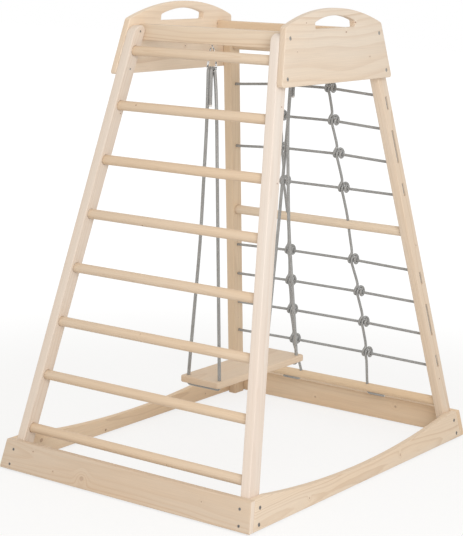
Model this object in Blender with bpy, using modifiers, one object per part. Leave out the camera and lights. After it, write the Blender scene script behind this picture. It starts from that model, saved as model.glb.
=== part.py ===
"""Indoor play tower with a ladder, a rope net and a plank swing.

Four legs lean inwards to two side plates with hand slots. X runs along the
ladder's rungs, Y from the ladder to the net, Z up. The origin is at the middle
of the footprint, on the floor. Lengths are in metres.
"""

import math

import bmesh
import bpy
import numpy as np
from mathutils import Matrix, Vector

# Frame
LEG_HEIGHT = 1.430
HALF_WIDTH_BASE = 0.4727    # outer faces of the legs at the floor, along X
HALF_WIDTH_TOP = 0.2897
HALF_DEPTH_BASE = 0.6483    # outer faces of the legs at the floor, along Y
HALF_DEPTH_TOP = 0.2865
LEG_X = 0.033
LEG_Y = 0.054
BOARD = 0.022               # thickness of every board
GAP = 0.0003                # air between touching pieces
EASED = 0.0030              # eased edges

# Base
BASE_BOTTOM = 0.005
BASE_TOP = 0.098
RAIL_WAIST = 0.057          # height of the side rails at mid-length
RAIL_END_FLAT = 0.565       # the hollow of a side rail starts this far out

# Top
PLATE_BOTTOM = 1.273
PLATE_SHOULDER = 1.451
PLATE_APEX = 1.5025
SLOT_HALF = 0.117
SLOT_BOTTOM = 1.441
SLOT_SIDE = 1.4615
SLOT_APEX = 1.4803
BEAM_BOTTOM = 1.382
BEAM_TOP = 1.433
BEAM = 0.033                # thickness of the beams that carry the swing

# Round bars
BAR_RADIUS = 0.016
BAR_SINK = 0.016            # depth of a bar's end in its leg
BAR_SIDES = 14
RUNG_TOP = 1.3495
RUNG_PITCH = 0.1737
RUNG_COUNT = 8
NET_BARS = {"top": 1.349, "middle": 0.745, "bottom": 0.1313}

# Net
CORD = 0.0095
ROW_HOLES = ((1.210, 1.0975, 0.985, 0.8725), (0.6085, 0.4938, 0.379, 0.2643))
ROW_RISE = ((0.012, 0.0125, 0.010, 0.002), (0.0075, 0.005, 0.0055, 0.004))
COLUMN_AT = ((0.1057, 0.1060, 0.1130, 0.1205), (0.1320, 0.1435, 0.1510, 0.1535))
COLUMN_TOP = 0.105          # where a column passes the top, middle and bottom bars
COLUMN_MIDDLE = 0.126
COLUMN_BOTTOM = 0.142
TUCK = 0.044                # length of a cord end laid in its groove
BAR_TUCK = 0.075
GROOVE_DEPTH = 0.0054       # cord centre below the leg's face
GROOVE_HALF = 0.0054
LOW_TUCK = -0.002           # the same for the cord's end under the bottom bar
TURN = 0.0060               # bend radius of a cord at a hole's mouth

# Hitch of a column on a row: along the row and off it in cord diameters, and the
# turn about the row in degrees from straight up, forwards first.
HITCH = (
    (-0.02, 4, 2.95), (-0.19, 20, 2.56), (-0.56, 43, 2.18),
    (-1.00, 72, 1.61), (-1.20, 114, 1.27), (-1.19, 156, 1.15), (-0.97, 197, 1.13),
    (-0.48, 240, 1.17), (0.27, 285, 1.17), (0.90, 330, 1.13), (1.16, 368, 1.12),
    (1.26, 406, 1.12), (1.27, 444, 1.12), (1.23, 485, 1.14), (1.17, 530, 1.26),
    (1.07, 576, 1.54), (0.90, 616, 1.95), (0.66, 645, 2.22), (0.40, 667, 2.23),
    (0.14, 693, 1.98), (0.00, 730, 1.53), (0.09, 780, 1.20), (-0.01, 821, 1.24),
    (0.00, 857, 1.70), (0.00, 881, 2.51),
)

# Swing
SEAT_LENGTH = 0.510
SEAT_WIDTH = 0.158
SEAT_THICK = 0.022
SEAT_TOP = 0.3045
SEAT_HOLE_X = 0.062
SEAT_HOLE_Y = 0.228
ROPE = 0.011
ROPE_TAIL = 1.188           # lower end of the rope's laid-back tail
EYE_WIRE = 0.005
EYE_RING = 0.0105           # radius of the ring, to the wire's centre
EYE_SHANK = 0.024
EYE_NECK = 0.007            # from the beam down to the ring
CARABINER_WIRE = 0.0065
GATE_WIRE = 0.0055

# Screws
WIDE_HEAD = 0.0060          # radius of the heads in the rails and plates
BOARD_HEAD = 0.0044         # radius of the heads in the base boards
HEAD_THICK = 0.0018
SHANK_RADIUS = 0.0026
NUT_RADIUS = 0.0036
NUT_LENGTH = 0.010
SCREW_SIDES = 8

# Colours
PINE = (0.76, 0.58, 0.41)
PINE_SHADE = (0.68, 0.50, 0.34)
CORD_GREY = (0.23, 0.24, 0.24)
ZINC = (0.62, 0.62, 0.60)
SCREW_STEEL = (0.20, 0.18, 0.16)

LEAN_X = (HALF_WIDTH_BASE - HALF_WIDTH_TOP) / LEG_HEIGHT
LEAN_Y = (HALF_DEPTH_BASE - HALF_DEPTH_TOP) / LEG_HEIGHT
TILT_X = math.atan(LEAN_X)
TILT_Y = math.atan(LEAN_Y)
BOARD_X = BOARD / math.cos(TILT_X)
BOARD_Y = BOARD / math.cos(TILT_Y)
BEAM_Y = BEAM / math.cos(TILT_Y)
CORD_RADIUS = CORD / 2
ROPE_RADIUS = ROPE / 2

HOOK_Y = HALF_DEPTH_BASE - LEAN_Y * BEAM_BOTTOM - LEG_Y - GAP - BEAM_Y / 2
SWING_AXIS_Z = BEAM_BOTTOM - EYE_NECK - EYE_WIRE / 2 - 2 * EYE_RING


def half_width(z):
    """Outer face of a leg at height z, along X."""
    return HALF_WIDTH_BASE - LEAN_X * z


def half_depth(z):
    """Outer face of a leg at height z, along Y."""
    return HALF_DEPTH_BASE - LEAN_Y * z


def net_y(z):
    """Plane of the net, through the middle of the back legs."""
    return half_depth(z) - LEG_Y / 2


def lean(side_x, side_y):
    """Shear that leans an upright piece inwards with the legs on its side."""
    matrix = Matrix.Identity(4)
    matrix[0][2] = -side_x * LEAN_X
    matrix[1][2] = -side_y * LEAN_Y
    return matrix


# Scene
for old in list(bpy.data.objects):
    bpy.data.objects.remove(old, do_unlink=True)

TOWER = bpy.data.collections.new("indoor_play_tower")
CUTTERS = bpy.data.collections.new("cutters")
for group in (TOWER, CUTTERS):
    bpy.context.scene.collection.children.link(group)


def material(name, colour, roughness, metallic=0.0):
    """A plain material in the piece's colour."""
    made = bpy.data.materials.new(name)
    made.use_nodes = True
    shader = made.node_tree.nodes["Principled BSDF"]
    shader.inputs["Base Color"].default_value = (*colour, 1.0)
    shader.inputs["Roughness"].default_value = roughness
    shader.inputs["Metallic"].default_value = metallic
    return made


PINE_MAT = material("pine", PINE, 0.55)
DOWEL_MAT = material("pine_dowel", PINE_SHADE, 0.55)
CORD_MAT = material("grey_cord", CORD_GREY, 0.85)
ZINC_MAT = material("zinc_steel", ZINC, 0.32, 1.0)
SCREW_MAT = material("screw_steel", SCREW_STEEL, 0.45, 0.8)


def place(obj, mat=None, guide=False):
    """Link a finished piece, or a cutter, into its collection."""
    (CUTTERS if guide else TOWER).objects.link(obj)
    if mat:
        obj.data.materials.append(mat)
    if guide:
        obj.hide_render = True
        obj.display_type = "WIRE"
    return obj


def object_from(bm, name, mat=None, guide=False):
    """Turn a bmesh into an object."""
    bmesh.ops.recalc_face_normals(bm, faces=bm.faces)
    mesh = bpy.data.meshes.new(name)
    bm.to_mesh(mesh)
    bm.free()
    if not guide:
        mesh.shade_smooth()
        mesh.set_sharp_from_angle(angle=math.radians(40))
    return place(bpy.data.objects.new(name, mesh), mat, guide)


def mesh_of_curve(data, name):
    """Welded mesh of a curve."""
    carrier = bpy.data.objects.new(name + "_curve", data)
    bpy.context.scene.collection.objects.link(carrier)
    bpy.context.view_layer.update()
    shape = carrier.evaluated_get(bpy.context.evaluated_depsgraph_get())
    mesh = bpy.data.meshes.new_from_object(shape)
    bpy.data.objects.remove(carrier, do_unlink=True)
    bm = bmesh.new()
    bm.from_mesh(mesh)
    bmesh.ops.remove_doubles(bm, verts=bm.verts, dist=0.00002)
    return bm


def cut(obj, cutters):
    """Take the cutters, which may be shared with a neighbour, out of a piece."""
    group = bpy.data.collections.new("cuts_" + obj.name)
    CUTTERS.children.link(group)
    for cutter in cutters:
        group.objects.link(cutter)
    change = obj.modifiers.new("cuts", "BOOLEAN")
    change.operation = "DIFFERENCE"
    change.solver = "EXACT"
    change.operand_type = "COLLECTION"
    change.collection = group


def rounded(corners, steps=4):
    """Outline through corners given as (u, v, radius), each turned into an arc."""
    points = []
    count = len(corners)
    for index, (u, v, radius) in enumerate(corners):
        here = Vector((u, v))
        if radius == 0:
            points.append(here)
            continue
        back = (Vector(corners[index - 1][:2]) - here).normalized()
        ahead = (Vector(corners[(index + 1) % count][:2]) - here).normalized()
        half = back.angle(ahead) / 2
        reach = radius / math.tan(half)
        centre = here + (back + ahead).normalized() * radius / math.sin(half)
        start = (here + back * reach - centre)
        swing = start.angle_signed(here + ahead * reach - centre)
        for step in range(steps + 1):
            points.append(centre + Matrix.Rotation(-swing * step / steps, 2) @ start)
    return [(p[0], p[1]) for p in points]


def arch(half, side, apex, steps):
    """Corners of a low arc from +half to -half, its ends left out."""
    rise = apex - side
    radius = (half * half + rise * rise) / (2 * rise)
    reach = math.asin(half / radius)
    angles = [reach - 2 * reach * k / steps for k in range(1, steps)]
    return [(radius * math.sin(a), apex - radius + radius * math.cos(a), 0) for a in angles]


def panel(name, outlines, thick, along, shear, offset):
    """A board cut to an outline in its own plane, then leaned into place.

    The outline's u runs along X for a front or back board and along Y for a side
    board; its v is the height. The near face lies at the offset and the board
    grows outwards from there, or inwards for a negative thickness.
    """
    data = bpy.data.curves.new(name, "CURVE")
    data.dimensions = "2D"
    data.fill_mode = "BOTH"
    data.extrude = abs(thick) / 2
    for outline in outlines:
        spline = data.splines.new("POLY")
        spline.points.add(len(outline) - 1)
        for point, (u, v) in zip(spline.points, outline):
            point.co = (u, v, 0, 1)
        spline.use_cyclic_u = True
    bm = mesh_of_curve(data, name)
    bmesh.ops.dissolve_limit(bm, angle_limit=math.radians(1), verts=bm.verts, edges=bm.edges)
    if along == "X":
        axes = Matrix(((1, 0, 0, 0), (0, 0, 1, 0), (0, 1, 0, 0), (0, 0, 0, 1)))
        shift = Matrix.Translation((0, offset + thick / 2, 0))
    else:
        axes = Matrix(((0, 0, 1, 0), (1, 0, 0, 0), (0, 1, 0, 0), (0, 0, 0, 1)))
        shift = Matrix.Translation((offset + thick / 2, 0, 0))
    bmesh.ops.transform(bm, matrix=shear @ shift @ axes, verts=bm.verts)
    obj = object_from(bm, name, PINE_MAT)
    ease = obj.modifiers.new("eased_edges", "BEVEL")
    ease.width = EASED
    ease.segments = 1
    ease.limit_method = "ANGLE"
    ease.angle_limit = math.radians(50)
    ease.use_clamp_overlap = False
    return obj


def cylinder(name, start, end, radius, sides, mat=None, guide=False):
    """A round bar between two points, with its origin at its middle."""
    start, end = Vector(start), Vector(end)
    along = end - start
    bm = bmesh.new()
    bmesh.ops.create_cone(bm, cap_ends=True, segments=sides, radius1=radius,
                          radius2=radius, depth=along.length)
    obj = object_from(bm, name, mat, guide)
    obj.location = (start + end) / 2
    obj.rotation_euler = along.to_track_quat("Z", "Y").to_euler()
    return obj


def tube(name, points, radius, resolution=1, mat=CORD_MAT):
    """A cord or bent wire as one unbroken tube with closed ends."""
    data = bpy.data.curves.new(name, "CURVE")
    data.dimensions = "3D"
    data.bevel_depth = radius
    data.bevel_resolution = resolution
    data.use_fill_caps = True
    spline = data.splines.new("POLY")
    spline.points.add(len(points) - 1)
    for point, place_at in zip(spline.points, points):
        point.co = (*place_at, 1)
    return place(bpy.data.objects.new(name, data), mat)


def channel(name, points, radius):
    """Cutter along a cord's own route, a little wider than the cord."""
    data = bpy.data.curves.new(name, "CURVE")
    data.dimensions = "3D"
    data.bevel_depth = radius
    data.bevel_resolution = 2
    data.use_fill_caps = True
    spline = data.splines.new("POLY")
    spline.points.add(len(points) - 1)
    for point, place_at in zip(spline.points, points):
        point.co = (*place_at, 1)
    return object_from(mesh_of_curve(data, name), name, guide=True)


def turned(name, profile, mat=None, guide=False):
    """A turned piece from (radius, height) points, top to bottom, about Z."""
    mesh = bpy.data.meshes.new(name)
    mesh.from_pydata([(r, 0, h) for r, h in profile],
                     [(k, k + 1) for k in range(len(profile) - 1)], [])
    obj = place(bpy.data.objects.new(name, mesh), mat, guide)
    spin = obj.modifiers.new("turned", "SCREW")
    spin.steps = spin.render_steps = SCREW_SIDES
    spin.use_merge_vertices = True
    spin.merge_threshold = 0.00001
    spin.use_smooth_shade = False
    return obj


def smooth_route(points, spacing):
    """Points at a spacing along a smooth curve through the route's points."""
    knots = [Vector(p) for p in points]
    ends = [2 * knots[0] - knots[1], *knots, 2 * knots[-1] - knots[-2]]
    made = []
    for a, b, c, d in zip(ends, ends[1:], ends[2:], ends[3:]):
        count = max(1, round((c - b).length / spacing))
        for k in range(count):
            t = k / count
            made.append(0.5 * (2 * b + (c - a) * t + (2 * a - 5 * b + 4 * c - d) * t * t
                               + (3 * b - a - 3 * c + d) * t ** 3))
    return made + [knots[-1]]


def least_gap(points, radius, apart):
    """Least air between parts of one tube that are some way apart along it."""
    route = np.array([tuple(p) for p in points])
    length = np.concatenate([[0], np.cumsum(np.linalg.norm(np.diff(route, axis=0), axis=1))])
    marks = np.arange(0, length[-1], 0.0015)
    dense = np.stack([np.interp(marks, length, route[:, k]) for k in range(3)], 1)
    least = 1.0
    for index in range(0, len(dense), 2):
        far = dense[marks > marks[index] + apart]
        if len(far):
            least = min(least, np.linalg.norm(far - dense[index], axis=1).min())
    return least - 2 * radius


# Screws
def screw(name, head, tilt, length, radius=WIDE_HEAD, nut=False):
    """A screw or bolt square to a leaning face, and the hole that it needs."""
    def profile(spare, above):
        heights = [(0, above), (radius + spare, above), (radius + spare, -HEAD_THICK - spare),
                   (SHANK_RADIUS + spare, -HEAD_THICK - spare)]
        if nut:
            waist = -length + NUT_LENGTH + spare
            foot = -length - (0.006 if spare else 0)
            heights += [(SHANK_RADIUS + spare, waist), (NUT_RADIUS + spare, waist),
                        (NUT_RADIUS + spare, foot), (0, foot)]
        else:
            heights += [(SHANK_RADIUS + spare, -length - spare), (0, -length - spare)]
        return heights

    body = turned(name, profile(0, 0.0004), SCREW_MAT)
    hole = turned(name + "_hole", profile(GAP, 0.006), guide=True)
    for obj in (body, hole):
        obj.location = head
        obj.rotation_euler = tilt
    return hole


def side_tilt(side):
    return (0, side * (math.pi / 2 - TILT_X), 0)


def end_tilt(side):
    return (-side * (math.pi / 2 - TILT_Y), 0, 0)


SIDES = {"left": -1, "right": 1}
ENDS = {"front": -1, "back": 1}
leg_cuts = {(end, side): [] for end in ENDS for side in SIDES}
rail_cuts = {side: [] for side in SIDES}
board_cuts = {end: [] for end in ENDS}
plate_cuts = {side: [] for side in SIDES}

for end, sy in ENDS.items():
    for side, sx in SIDES.items():
        for level, z in (("upper", 0.070), ("lower", 0.022)):
            face = half_width(z) + GAP + BOARD_X
            hole = screw(f"rail_screw_{end}_{side}_{level}", (sx * face, sy * net_y(z), z),
                         side_tilt(sx), 0.048)
            leg_cuts[end, side].append(hole)
            rail_cuts[side].append(hole)
            face = half_depth(z) + GAP + BOARD_Y
            hole = screw(f"board_screw_{end}_{side}_{level}",
                         (sx * (half_width(z) - LEG_X / 2), sy * face, z), end_tilt(sy), 0.038,
                         BOARD_HEAD)
            leg_cuts[end, side].append(hole)
            board_cuts[end].append(hole)
        for level, z in (("upper", 1.4177), ("lower", 1.2978)):
            face = half_width(z) + GAP + BOARD_X
            length = BOARD + (LEG_X + GAP) * math.cos(TILT_X)
            hole = screw(f"plate_bolt_{end}_{side}_{level}", (sx * face, sy * net_y(z), z),
                         side_tilt(sx), length, nut=True)
            leg_cuts[end, side].append(hole)
            plate_cuts[side].append(hole)


# Bars
def bar(name, z, y):
    """A round bar let into both legs, and its socket cutter."""
    reach = half_width(z) - LEG_X + BAR_SINK
    made = cylinder(name, (-reach + GAP, y, z), (reach - GAP, y, z), BAR_RADIUS, BAR_SIDES,
                    DOWEL_MAT)
    socket = cylinder(name + "_socket", (-reach, y, z), (reach, y, z), BAR_RADIUS + GAP,
                      BAR_SIDES, guide=True)
    return made, socket


for index in range(RUNG_COUNT):
    height = RUNG_TOP - RUNG_PITCH * index
    _, socket = bar(f"rung_{index + 1}", height, -net_y(height))
    for side in SIDES:
        leg_cuts["front", side].append(socket)

net_bars = {}
for level, height in NET_BARS.items():
    net_bars[level], socket = bar(f"net_bar_{level}", height, net_y(height))
    for side in SIDES:
        leg_cuts["back", side].append(socket)


# Net
def face_point(sx, z, depth):
    """Point on the net's plane, some depth below a back leg's outer face."""
    return Vector((sx * (half_width(z) - depth), net_y(z), z))


def corner(sx, z, way):
    """Bend from a row's hole into the groove, way up (+1) or down (-1)."""
    points = [face_point(sx, z, LEG_X + 0.006)]
    for angle in (0, 45, 90):
        a = math.radians(angle)
        at = z + way * TURN * (1 - math.cos(a))
        points.append(face_point(sx, at, GROOVE_DEPTH + TURN * (1 - math.sin(a))))
    return points


def groove(name, sx, low, high):
    """Open groove in a back leg's outer face, round at both ends."""
    bm = bmesh.new()
    height = high - low
    size = Matrix.Diagonal((GROOVE_DEPTH + 0.004, 2 * GROOVE_HALF, height, 1))
    bmesh.ops.create_cube(bm, size=1, matrix=size)
    lying = [e for e in bm.edges
             if abs(e.verts[0].co.x - e.verts[1].co.x) > 0.001]
    bmesh.ops.bevel(bm, geom=lying, offset=GROOVE_HALF * 0.98, offset_type="OFFSET",
                    segments=2, profile=0.5, affect="EDGES", material=-1)
    middle = (low + high) / 2
    depth = (GROOVE_DEPTH - 0.004) / 2
    upright = Matrix.Translation((sx * (HALF_WIDTH_BASE - depth),
                                  HALF_DEPTH_BASE - LEG_Y / 2, middle))
    bmesh.ops.transform(bm, matrix=lean(sx, 1) @ upright, verts=bm.verts)
    return object_from(bm, name, guide=True)


def crossing(sx, row, section):
    """Where a column crosses a row of the upper (0) or lower (1) section."""
    z = ROW_HOLES[section][row] + ROW_RISE[section][row]
    return Vector((sx * COLUMN_AT[section][row], net_y(z), z))


def net_cord(name, section):
    """One cord laid to and fro through the legs, its ends tucked in grooves."""
    rows = ROW_HOLES[section]
    first, last = rows[0], rows[-1]
    tuck = [face_point(1, first - TUCK, GROOVE_DEPTH)]
    route = tuck + corner(1, first, -1)[::-1]
    leg_cuts["back", "right"] += [
        channel(f"{name}_end_1", route, CORD_RADIUS + 0.00065),
        groove(f"{name}_groove_1", 1, first - TUCK - 0.003, first + 0.002)]
    side = 1
    for row, z in enumerate(rows):
        route += [crossing(side, row, section), crossing(-side, row, section)]
        side = -side
        if row + 1 < len(rows):
            bend = corner(side, z, -1) + corner(side, rows[row + 1], 1)[::-1]
            low, high = rows[row + 1] - 0.002, z + 0.002
        else:
            bend = corner(side, z, 1) + [face_point(side, last + TUCK, GROOVE_DEPTH)]
            low, high = last - 0.002, last + TUCK + 0.003
        leg = "right" if side > 0 else "left"
        leg_cuts["back", leg] += [
            channel(f"{name}_turn_{row}", bend, CORD_RADIUS + 0.00065),
            groove(f"{name}_groove_{row + 2}", side, low, high)]
        route += bend
    tube(name, route, CORD_RADIUS)
    print(name, "least gap to itself", round(least_gap(route, CORD_RADIUS, 0.05) * 1000, 2), "mm")


net_cord("net_cord_upper", 0)
net_cord("net_cord_lower", 1)

UP = Vector((0, -math.sin(TILT_Y), math.cos(TILT_Y)))       # up along the net
FORWARD = Vector((0, -math.cos(TILT_Y), -math.sin(TILT_Y)))  # from the net to the ladder
UNDER = Vector((0, -math.sin(0.26), -math.cos(0.26)))        # underside of the bottom bar


def hitch(at):
    """The column's turns about a row, from above the row to below it."""
    points = []
    for along, turn, off in HITCH:
        a = math.radians(turn)
        points.append(at + CORD * (Vector((along, 0, 0)) + off * math.sin(a) * FORWARD
                                   + off * math.cos(a) * UP))
    return points


def bar_middle(level, x):
    z = NET_BARS[level]
    return Vector((x, net_y(z), z))


def bar_groove(name, centre, sx, way, depth=GROOVE_DEPTH):
    """Open groove along a round bar on the side that way points to."""
    bm = bmesh.new()
    length = BAR_TUCK + 0.004
    size = Matrix.Diagonal((length, 2 * GROOVE_HALF, 0.012, 1))
    bmesh.ops.create_cube(bm, size=1, matrix=size)
    standing = [e for e in bm.edges if abs(e.verts[0].co.z - e.verts[1].co.z) > 0.001]
    bmesh.ops.bevel(bm, geom=standing, offset=GROOVE_HALF * 0.98, offset_type="OFFSET",
                    segments=2, profile=0.5, affect="EDGES", material=-1)
    turn = Vector((0, 0, 1)).rotation_difference(way).to_matrix().to_4x4()
    lift = BAR_RADIUS - depth + 0.006
    shift = Matrix.Translation(centre + Vector((sx * (length / 2 - 0.001), 0, 0)) + way * lift)
    bmesh.ops.transform(bm, matrix=shift @ turn, verts=bm.verts)
    return object_from(bm, name, guide=True)


def tucked(centre, sx, way, inside, depth=GROOVE_DEPTH):
    """Route from a cord's end in a bar's groove to the bar's middle."""
    lift = BAR_RADIUS - depth
    across = Vector((sx, 0, 0))
    return [centre + across * BAR_TUCK + way * lift,
            centre + across * 0.030 + way * lift,
            centre + across * 0.0125 + way * lift,
            centre + across * 0.0080 + way * lift * 0.93,
            centre + across * 0.0040 + way * lift * 0.72,
            centre + across * 0.0014 + way * lift * 0.38,
            centre + inside * 0.003]


middle_cuts, top_cuts, bottom_cuts = [], [], []


def net_column(name, sx):
    """An upright cord from the top bar to the bottom bar, hitched on each row."""
    top = bar_middle("top", sx * COLUMN_TOP)
    middle = bar_middle("middle", sx * COLUMN_MIDDLE)
    bottom = bar_middle("bottom", sx * COLUMN_BOTTOM)
    wide = CORD_RADIUS + 0.00065

    start = tucked(top, sx, UP, -UP) + [top - UP * 0.012, top - UP * 0.026]
    top_cuts.extend([channel(name + "_top", start, wide),
                     bar_groove(name + "_top_groove", top, sx, UP)])
    through = [middle + UP * 0.026, middle - UP * 0.026]
    middle_cuts.append(channel(name + "_middle", through, wide))
    finish = [bottom + UP * 0.026, bottom + UP * 0.012]
    finish += tucked(bottom, sx, UNDER, UP, LOW_TUCK)[::-1]
    bottom_cuts.extend([channel(name + "_bottom", finish, wide),
                        bar_groove(name + "_bottom_groove", bottom, sx, UNDER, LOW_TUCK)])

    route = list(start)
    for section in (0, 1):
        for row in range(4):
            route += hitch(crossing(sx, row, section))
        route += through if section == 0 else finish
    tube(name, route, CORD_RADIUS)
    print(name, "least gap to itself", round(least_gap(route, CORD_RADIUS, 0.022) * 1000, 2), "mm")


net_column("net_column_left", -1)
net_column("net_column_right", 1)
cut(net_bars["top"], top_cuts)
cut(net_bars["middle"], middle_cuts)
cut(net_bars["bottom"], bottom_cuts)


# Legs
def leg(name, sx, sy, cutters):
    """A leg with a half-round top and eased edges, leaned in both ways."""
    bm = bmesh.new()
    size = Matrix.Translation((0, 0, LEG_HEIGHT / 2)) @ Matrix.Diagonal(
        (LEG_X, LEG_Y, LEG_HEIGHT, 1))
    bmesh.ops.create_cube(bm, size=1, matrix=size)
    top = [e for e in bm.edges if all(v.co.z > LEG_HEIGHT - 0.001 for v in e.verts)
           and abs(e.verts[0].co.x - e.verts[1].co.x) > 0.001]
    bmesh.ops.bevel(bm, geom=top, offset=LEG_Y / 2 - 0.0008, offset_type="OFFSET",
                    segments=5, profile=0.5, affect="EDGES", material=-1)
    rim = [e for e in bm.edges
           if sorted(round(abs(f.normal.x)) for f in e.link_faces) == [0, 1]]
    bmesh.ops.bevel(bm, geom=rim, offset=EASED, offset_type="OFFSET",
                    segments=1, profile=0.5, affect="EDGES", material=-1)
    bmesh.ops.transform(bm, matrix=lean(sx, sy), verts=bm.verts)
    obj = object_from(bm, name, PINE_MAT)
    obj.location = (sx * (HALF_WIDTH_BASE - LEG_X / 2), sy * (HALF_DEPTH_BASE - LEG_Y / 2), 0)
    cut(obj, cutters)


for (end, side), cutters in leg_cuts.items():
    leg(f"leg_{end}_{side}", SIDES[side], ENDS[end], cutters)

# Base
for end, sy in ENDS.items():
    corners = []
    for z, ends in ((BASE_BOTTOM, (-1, 1)), (BASE_TOP, (1, -1))):
        corners += [(k * (half_width(z) + GAP + BOARD_X), z, 0) for k in ends]
    board = panel(f"base_board_{end}", [rounded(corners)], sy * BOARD_Y, "X",
                  lean(0, sy), sy * (HALF_DEPTH_BASE + GAP))
    cut(board, board_cuts[end])

for side, sx in SIDES.items():
    corners = [(k * half_depth(BASE_BOTTOM), BASE_BOTTOM, 0) for k in (-1, 1)]
    corners += [(half_depth(BASE_TOP), BASE_TOP, 0), (RAIL_END_FLAT, BASE_TOP, 0)]
    sag = arch(RAIL_END_FLAT, -BASE_TOP, -RAIL_WAIST, 12)
    corners += [(u, -v, 0) for u, v, _ in sag]
    corners += [(-RAIL_END_FLAT, BASE_TOP, 0), (-half_depth(BASE_TOP), BASE_TOP, 0)]
    rail = panel(f"base_rail_{side}", [rounded(corners)], sx * BOARD_X, "Y",
                 lean(sx, 0), sx * (HALF_WIDTH_BASE + GAP))
    cut(rail, rail_cuts[side])

# Top
for side, sx in SIDES.items():
    outline = [(k * half_depth(PLATE_BOTTOM), PLATE_BOTTOM, 0.010) for k in (-1, 1)]
    outline.append((half_depth(PLATE_SHOULDER), PLATE_SHOULDER, 0.010))
    outline += arch(half_depth(PLATE_SHOULDER), PLATE_SHOULDER, PLATE_APEX, 10)
    outline.append((-half_depth(PLATE_SHOULDER), PLATE_SHOULDER, 0.010))
    slot = [(-SLOT_HALF, SLOT_BOTTOM, 0.006), (SLOT_HALF, SLOT_BOTTOM, 0.006)]
    slot.append((SLOT_HALF, SLOT_SIDE, 0.006))
    slot += arch(SLOT_HALF, SLOT_SIDE, SLOT_APEX, 6)
    slot.append((-SLOT_HALF, SLOT_SIDE, 0.006))
    plate = panel(f"side_plate_{side}", [rounded(outline, 3), rounded(slot, 2)],
                  sx * BOARD_X, "Y", lean(sx, 0), sx * (HALF_WIDTH_BASE + GAP))
    cut(plate, plate_cuts[side])

for end, sy in ENDS.items():
    corners = []
    for z, ends in ((BEAM_BOTTOM, (-1, 1)), (BEAM_TOP, (1, -1))):
        corners += [(k * half_width(z), z, 0) for k in ends]
    beam = panel(f"top_beam_{end}", [rounded(corners)], -sy * BEAM_Y, "X",
                 lean(0, sy), sy * (HALF_DEPTH_BASE - LEG_Y - GAP))
    eye_hole = cylinder(f"eye_hole_{end}", (0, sy * HOOK_Y, BEAM_BOTTOM - 0.01),
                        (0, sy * HOOK_Y, BEAM_BOTTOM + EYE_SHANK + GAP),
                        EYE_WIRE / 2 + 2 * GAP, 10, guide=True)
    cut(beam, [eye_hole])


# Swing
def ring(centre, radius, start, stop, steps, across, upward):
    """Points on an arc, angles in degrees from across towards upward."""
    angles = [math.radians(start + (stop - start) * k / steps) for k in range(steps + 1)]
    return [centre + radius * (math.cos(a) * across + math.sin(a) * upward) for a in angles]


X_AXIS, Y_AXIS, Z_AXIS = Vector((1, 0, 0)), Vector((0, 1, 0)), Vector((0, 0, 1))
BOW_REACH = 0.017           # half width of the carabiner at its bow, to the wire's centre
BOW_CORNER = 0.0115
NECK_RADIUS = 0.0095
NECK_CENTRE = 0.0490        # above the bow's wire centre
AXIS_ABOVE_BOW = NECK_CENTRE + NECK_RADIUS - CARABINER_WIRE / 2 - EYE_WIRE / 2 - 0.0006
BOW_Z = SWING_AXIS_Z - AXIS_ABOVE_BOW
GATE_LOW = (0.0172, 0.0152)
GATE_HIGH = (0.0148, 0.0400)


def half_turned(points, sy):
    """The front end's points, turned half way round Z for the back end."""
    return [Vector((-sy * p.x, -sy * p.y, p.z)) for p in points]


def eye(name, sy):
    """A screw eye: a shank whose wire goes once round into a ring."""
    hook = Vector((0, -HOOK_Y, SWING_AXIS_Z + EYE_RING))
    neck = hook + Z_AXIS * EYE_RING
    points = [neck + Z_AXIS * (EYE_NECK + EYE_WIRE / 2 + EYE_SHANK), neck + Z_AXIS * 0.0034]
    points += ring(hook, EYE_RING, 68, -238, 18, Y_AXIS, Z_AXIS)
    tube(name, half_turned(points, sy), EYE_WIRE / 2, 1, ZINC_MAT)


def carabiner(name, sy):
    """The carabiner's body: bow below, narrow neck through the eye, open at its gate."""
    foot = Vector((0, -HOOK_Y, BOW_Z))
    right = foot + X_AXIS * (BOW_REACH - BOW_CORNER) + Z_AXIS * BOW_CORNER
    left = foot - X_AXIS * (BOW_REACH - BOW_CORNER) + Z_AXIS * BOW_CORNER
    neck = foot + Z_AXIS * NECK_CENTRE
    points = [foot + X_AXIS * BOW_REACH + Z_AXIS * (BOW_CORNER + 0.002)]
    points += ring(right, BOW_CORNER, 0, -90, 4, X_AXIS, Z_AXIS)
    points += ring(left, BOW_CORNER, 270, 180, 4, X_AXIS, Z_AXIS)
    points += ring(neck, NECK_RADIUS, 170, 0, 8, X_AXIS, Z_AXIS)
    points.append(foot + X_AXIS * (GATE_HIGH[0] - 0.0008) + Z_AXIS * (GATE_HIGH[1] + 0.0034))
    tube(name, half_turned(points, sy), CARABINER_WIRE / 2, 1, ZINC_MAT)


def gate(name, sy):
    """The sprung gate, with a round end and its origin on its hinge."""
    side = -sy
    hinge = Vector((side * GATE_HIGH[0], sy * HOOK_Y, BOW_Z + GATE_HIGH[1]))
    tip = Vector((side * GATE_LOW[0], sy * HOOK_Y, BOW_Z + GATE_LOW[1]))
    radius = GATE_WIRE / 2
    length = (hinge - tip).length
    slant = radius * math.sqrt(0.5)
    obj = turned(name, [(0, radius), (slant, slant), (radius, 0), (radius, -length), (0, -length)],
                 ZINC_MAT)
    obj.location = hinge
    obj.rotation_euler = (hinge - tip).to_track_quat("Z", "Y").to_euler()


OVER_BOW = CARABINER_WIRE / 2 + ROPE_RADIUS + 0.00045
ROPE_OUT, ROPE_IN = -HOOK_Y - OVER_BOW, -HOOK_Y + OVER_BOW
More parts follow.
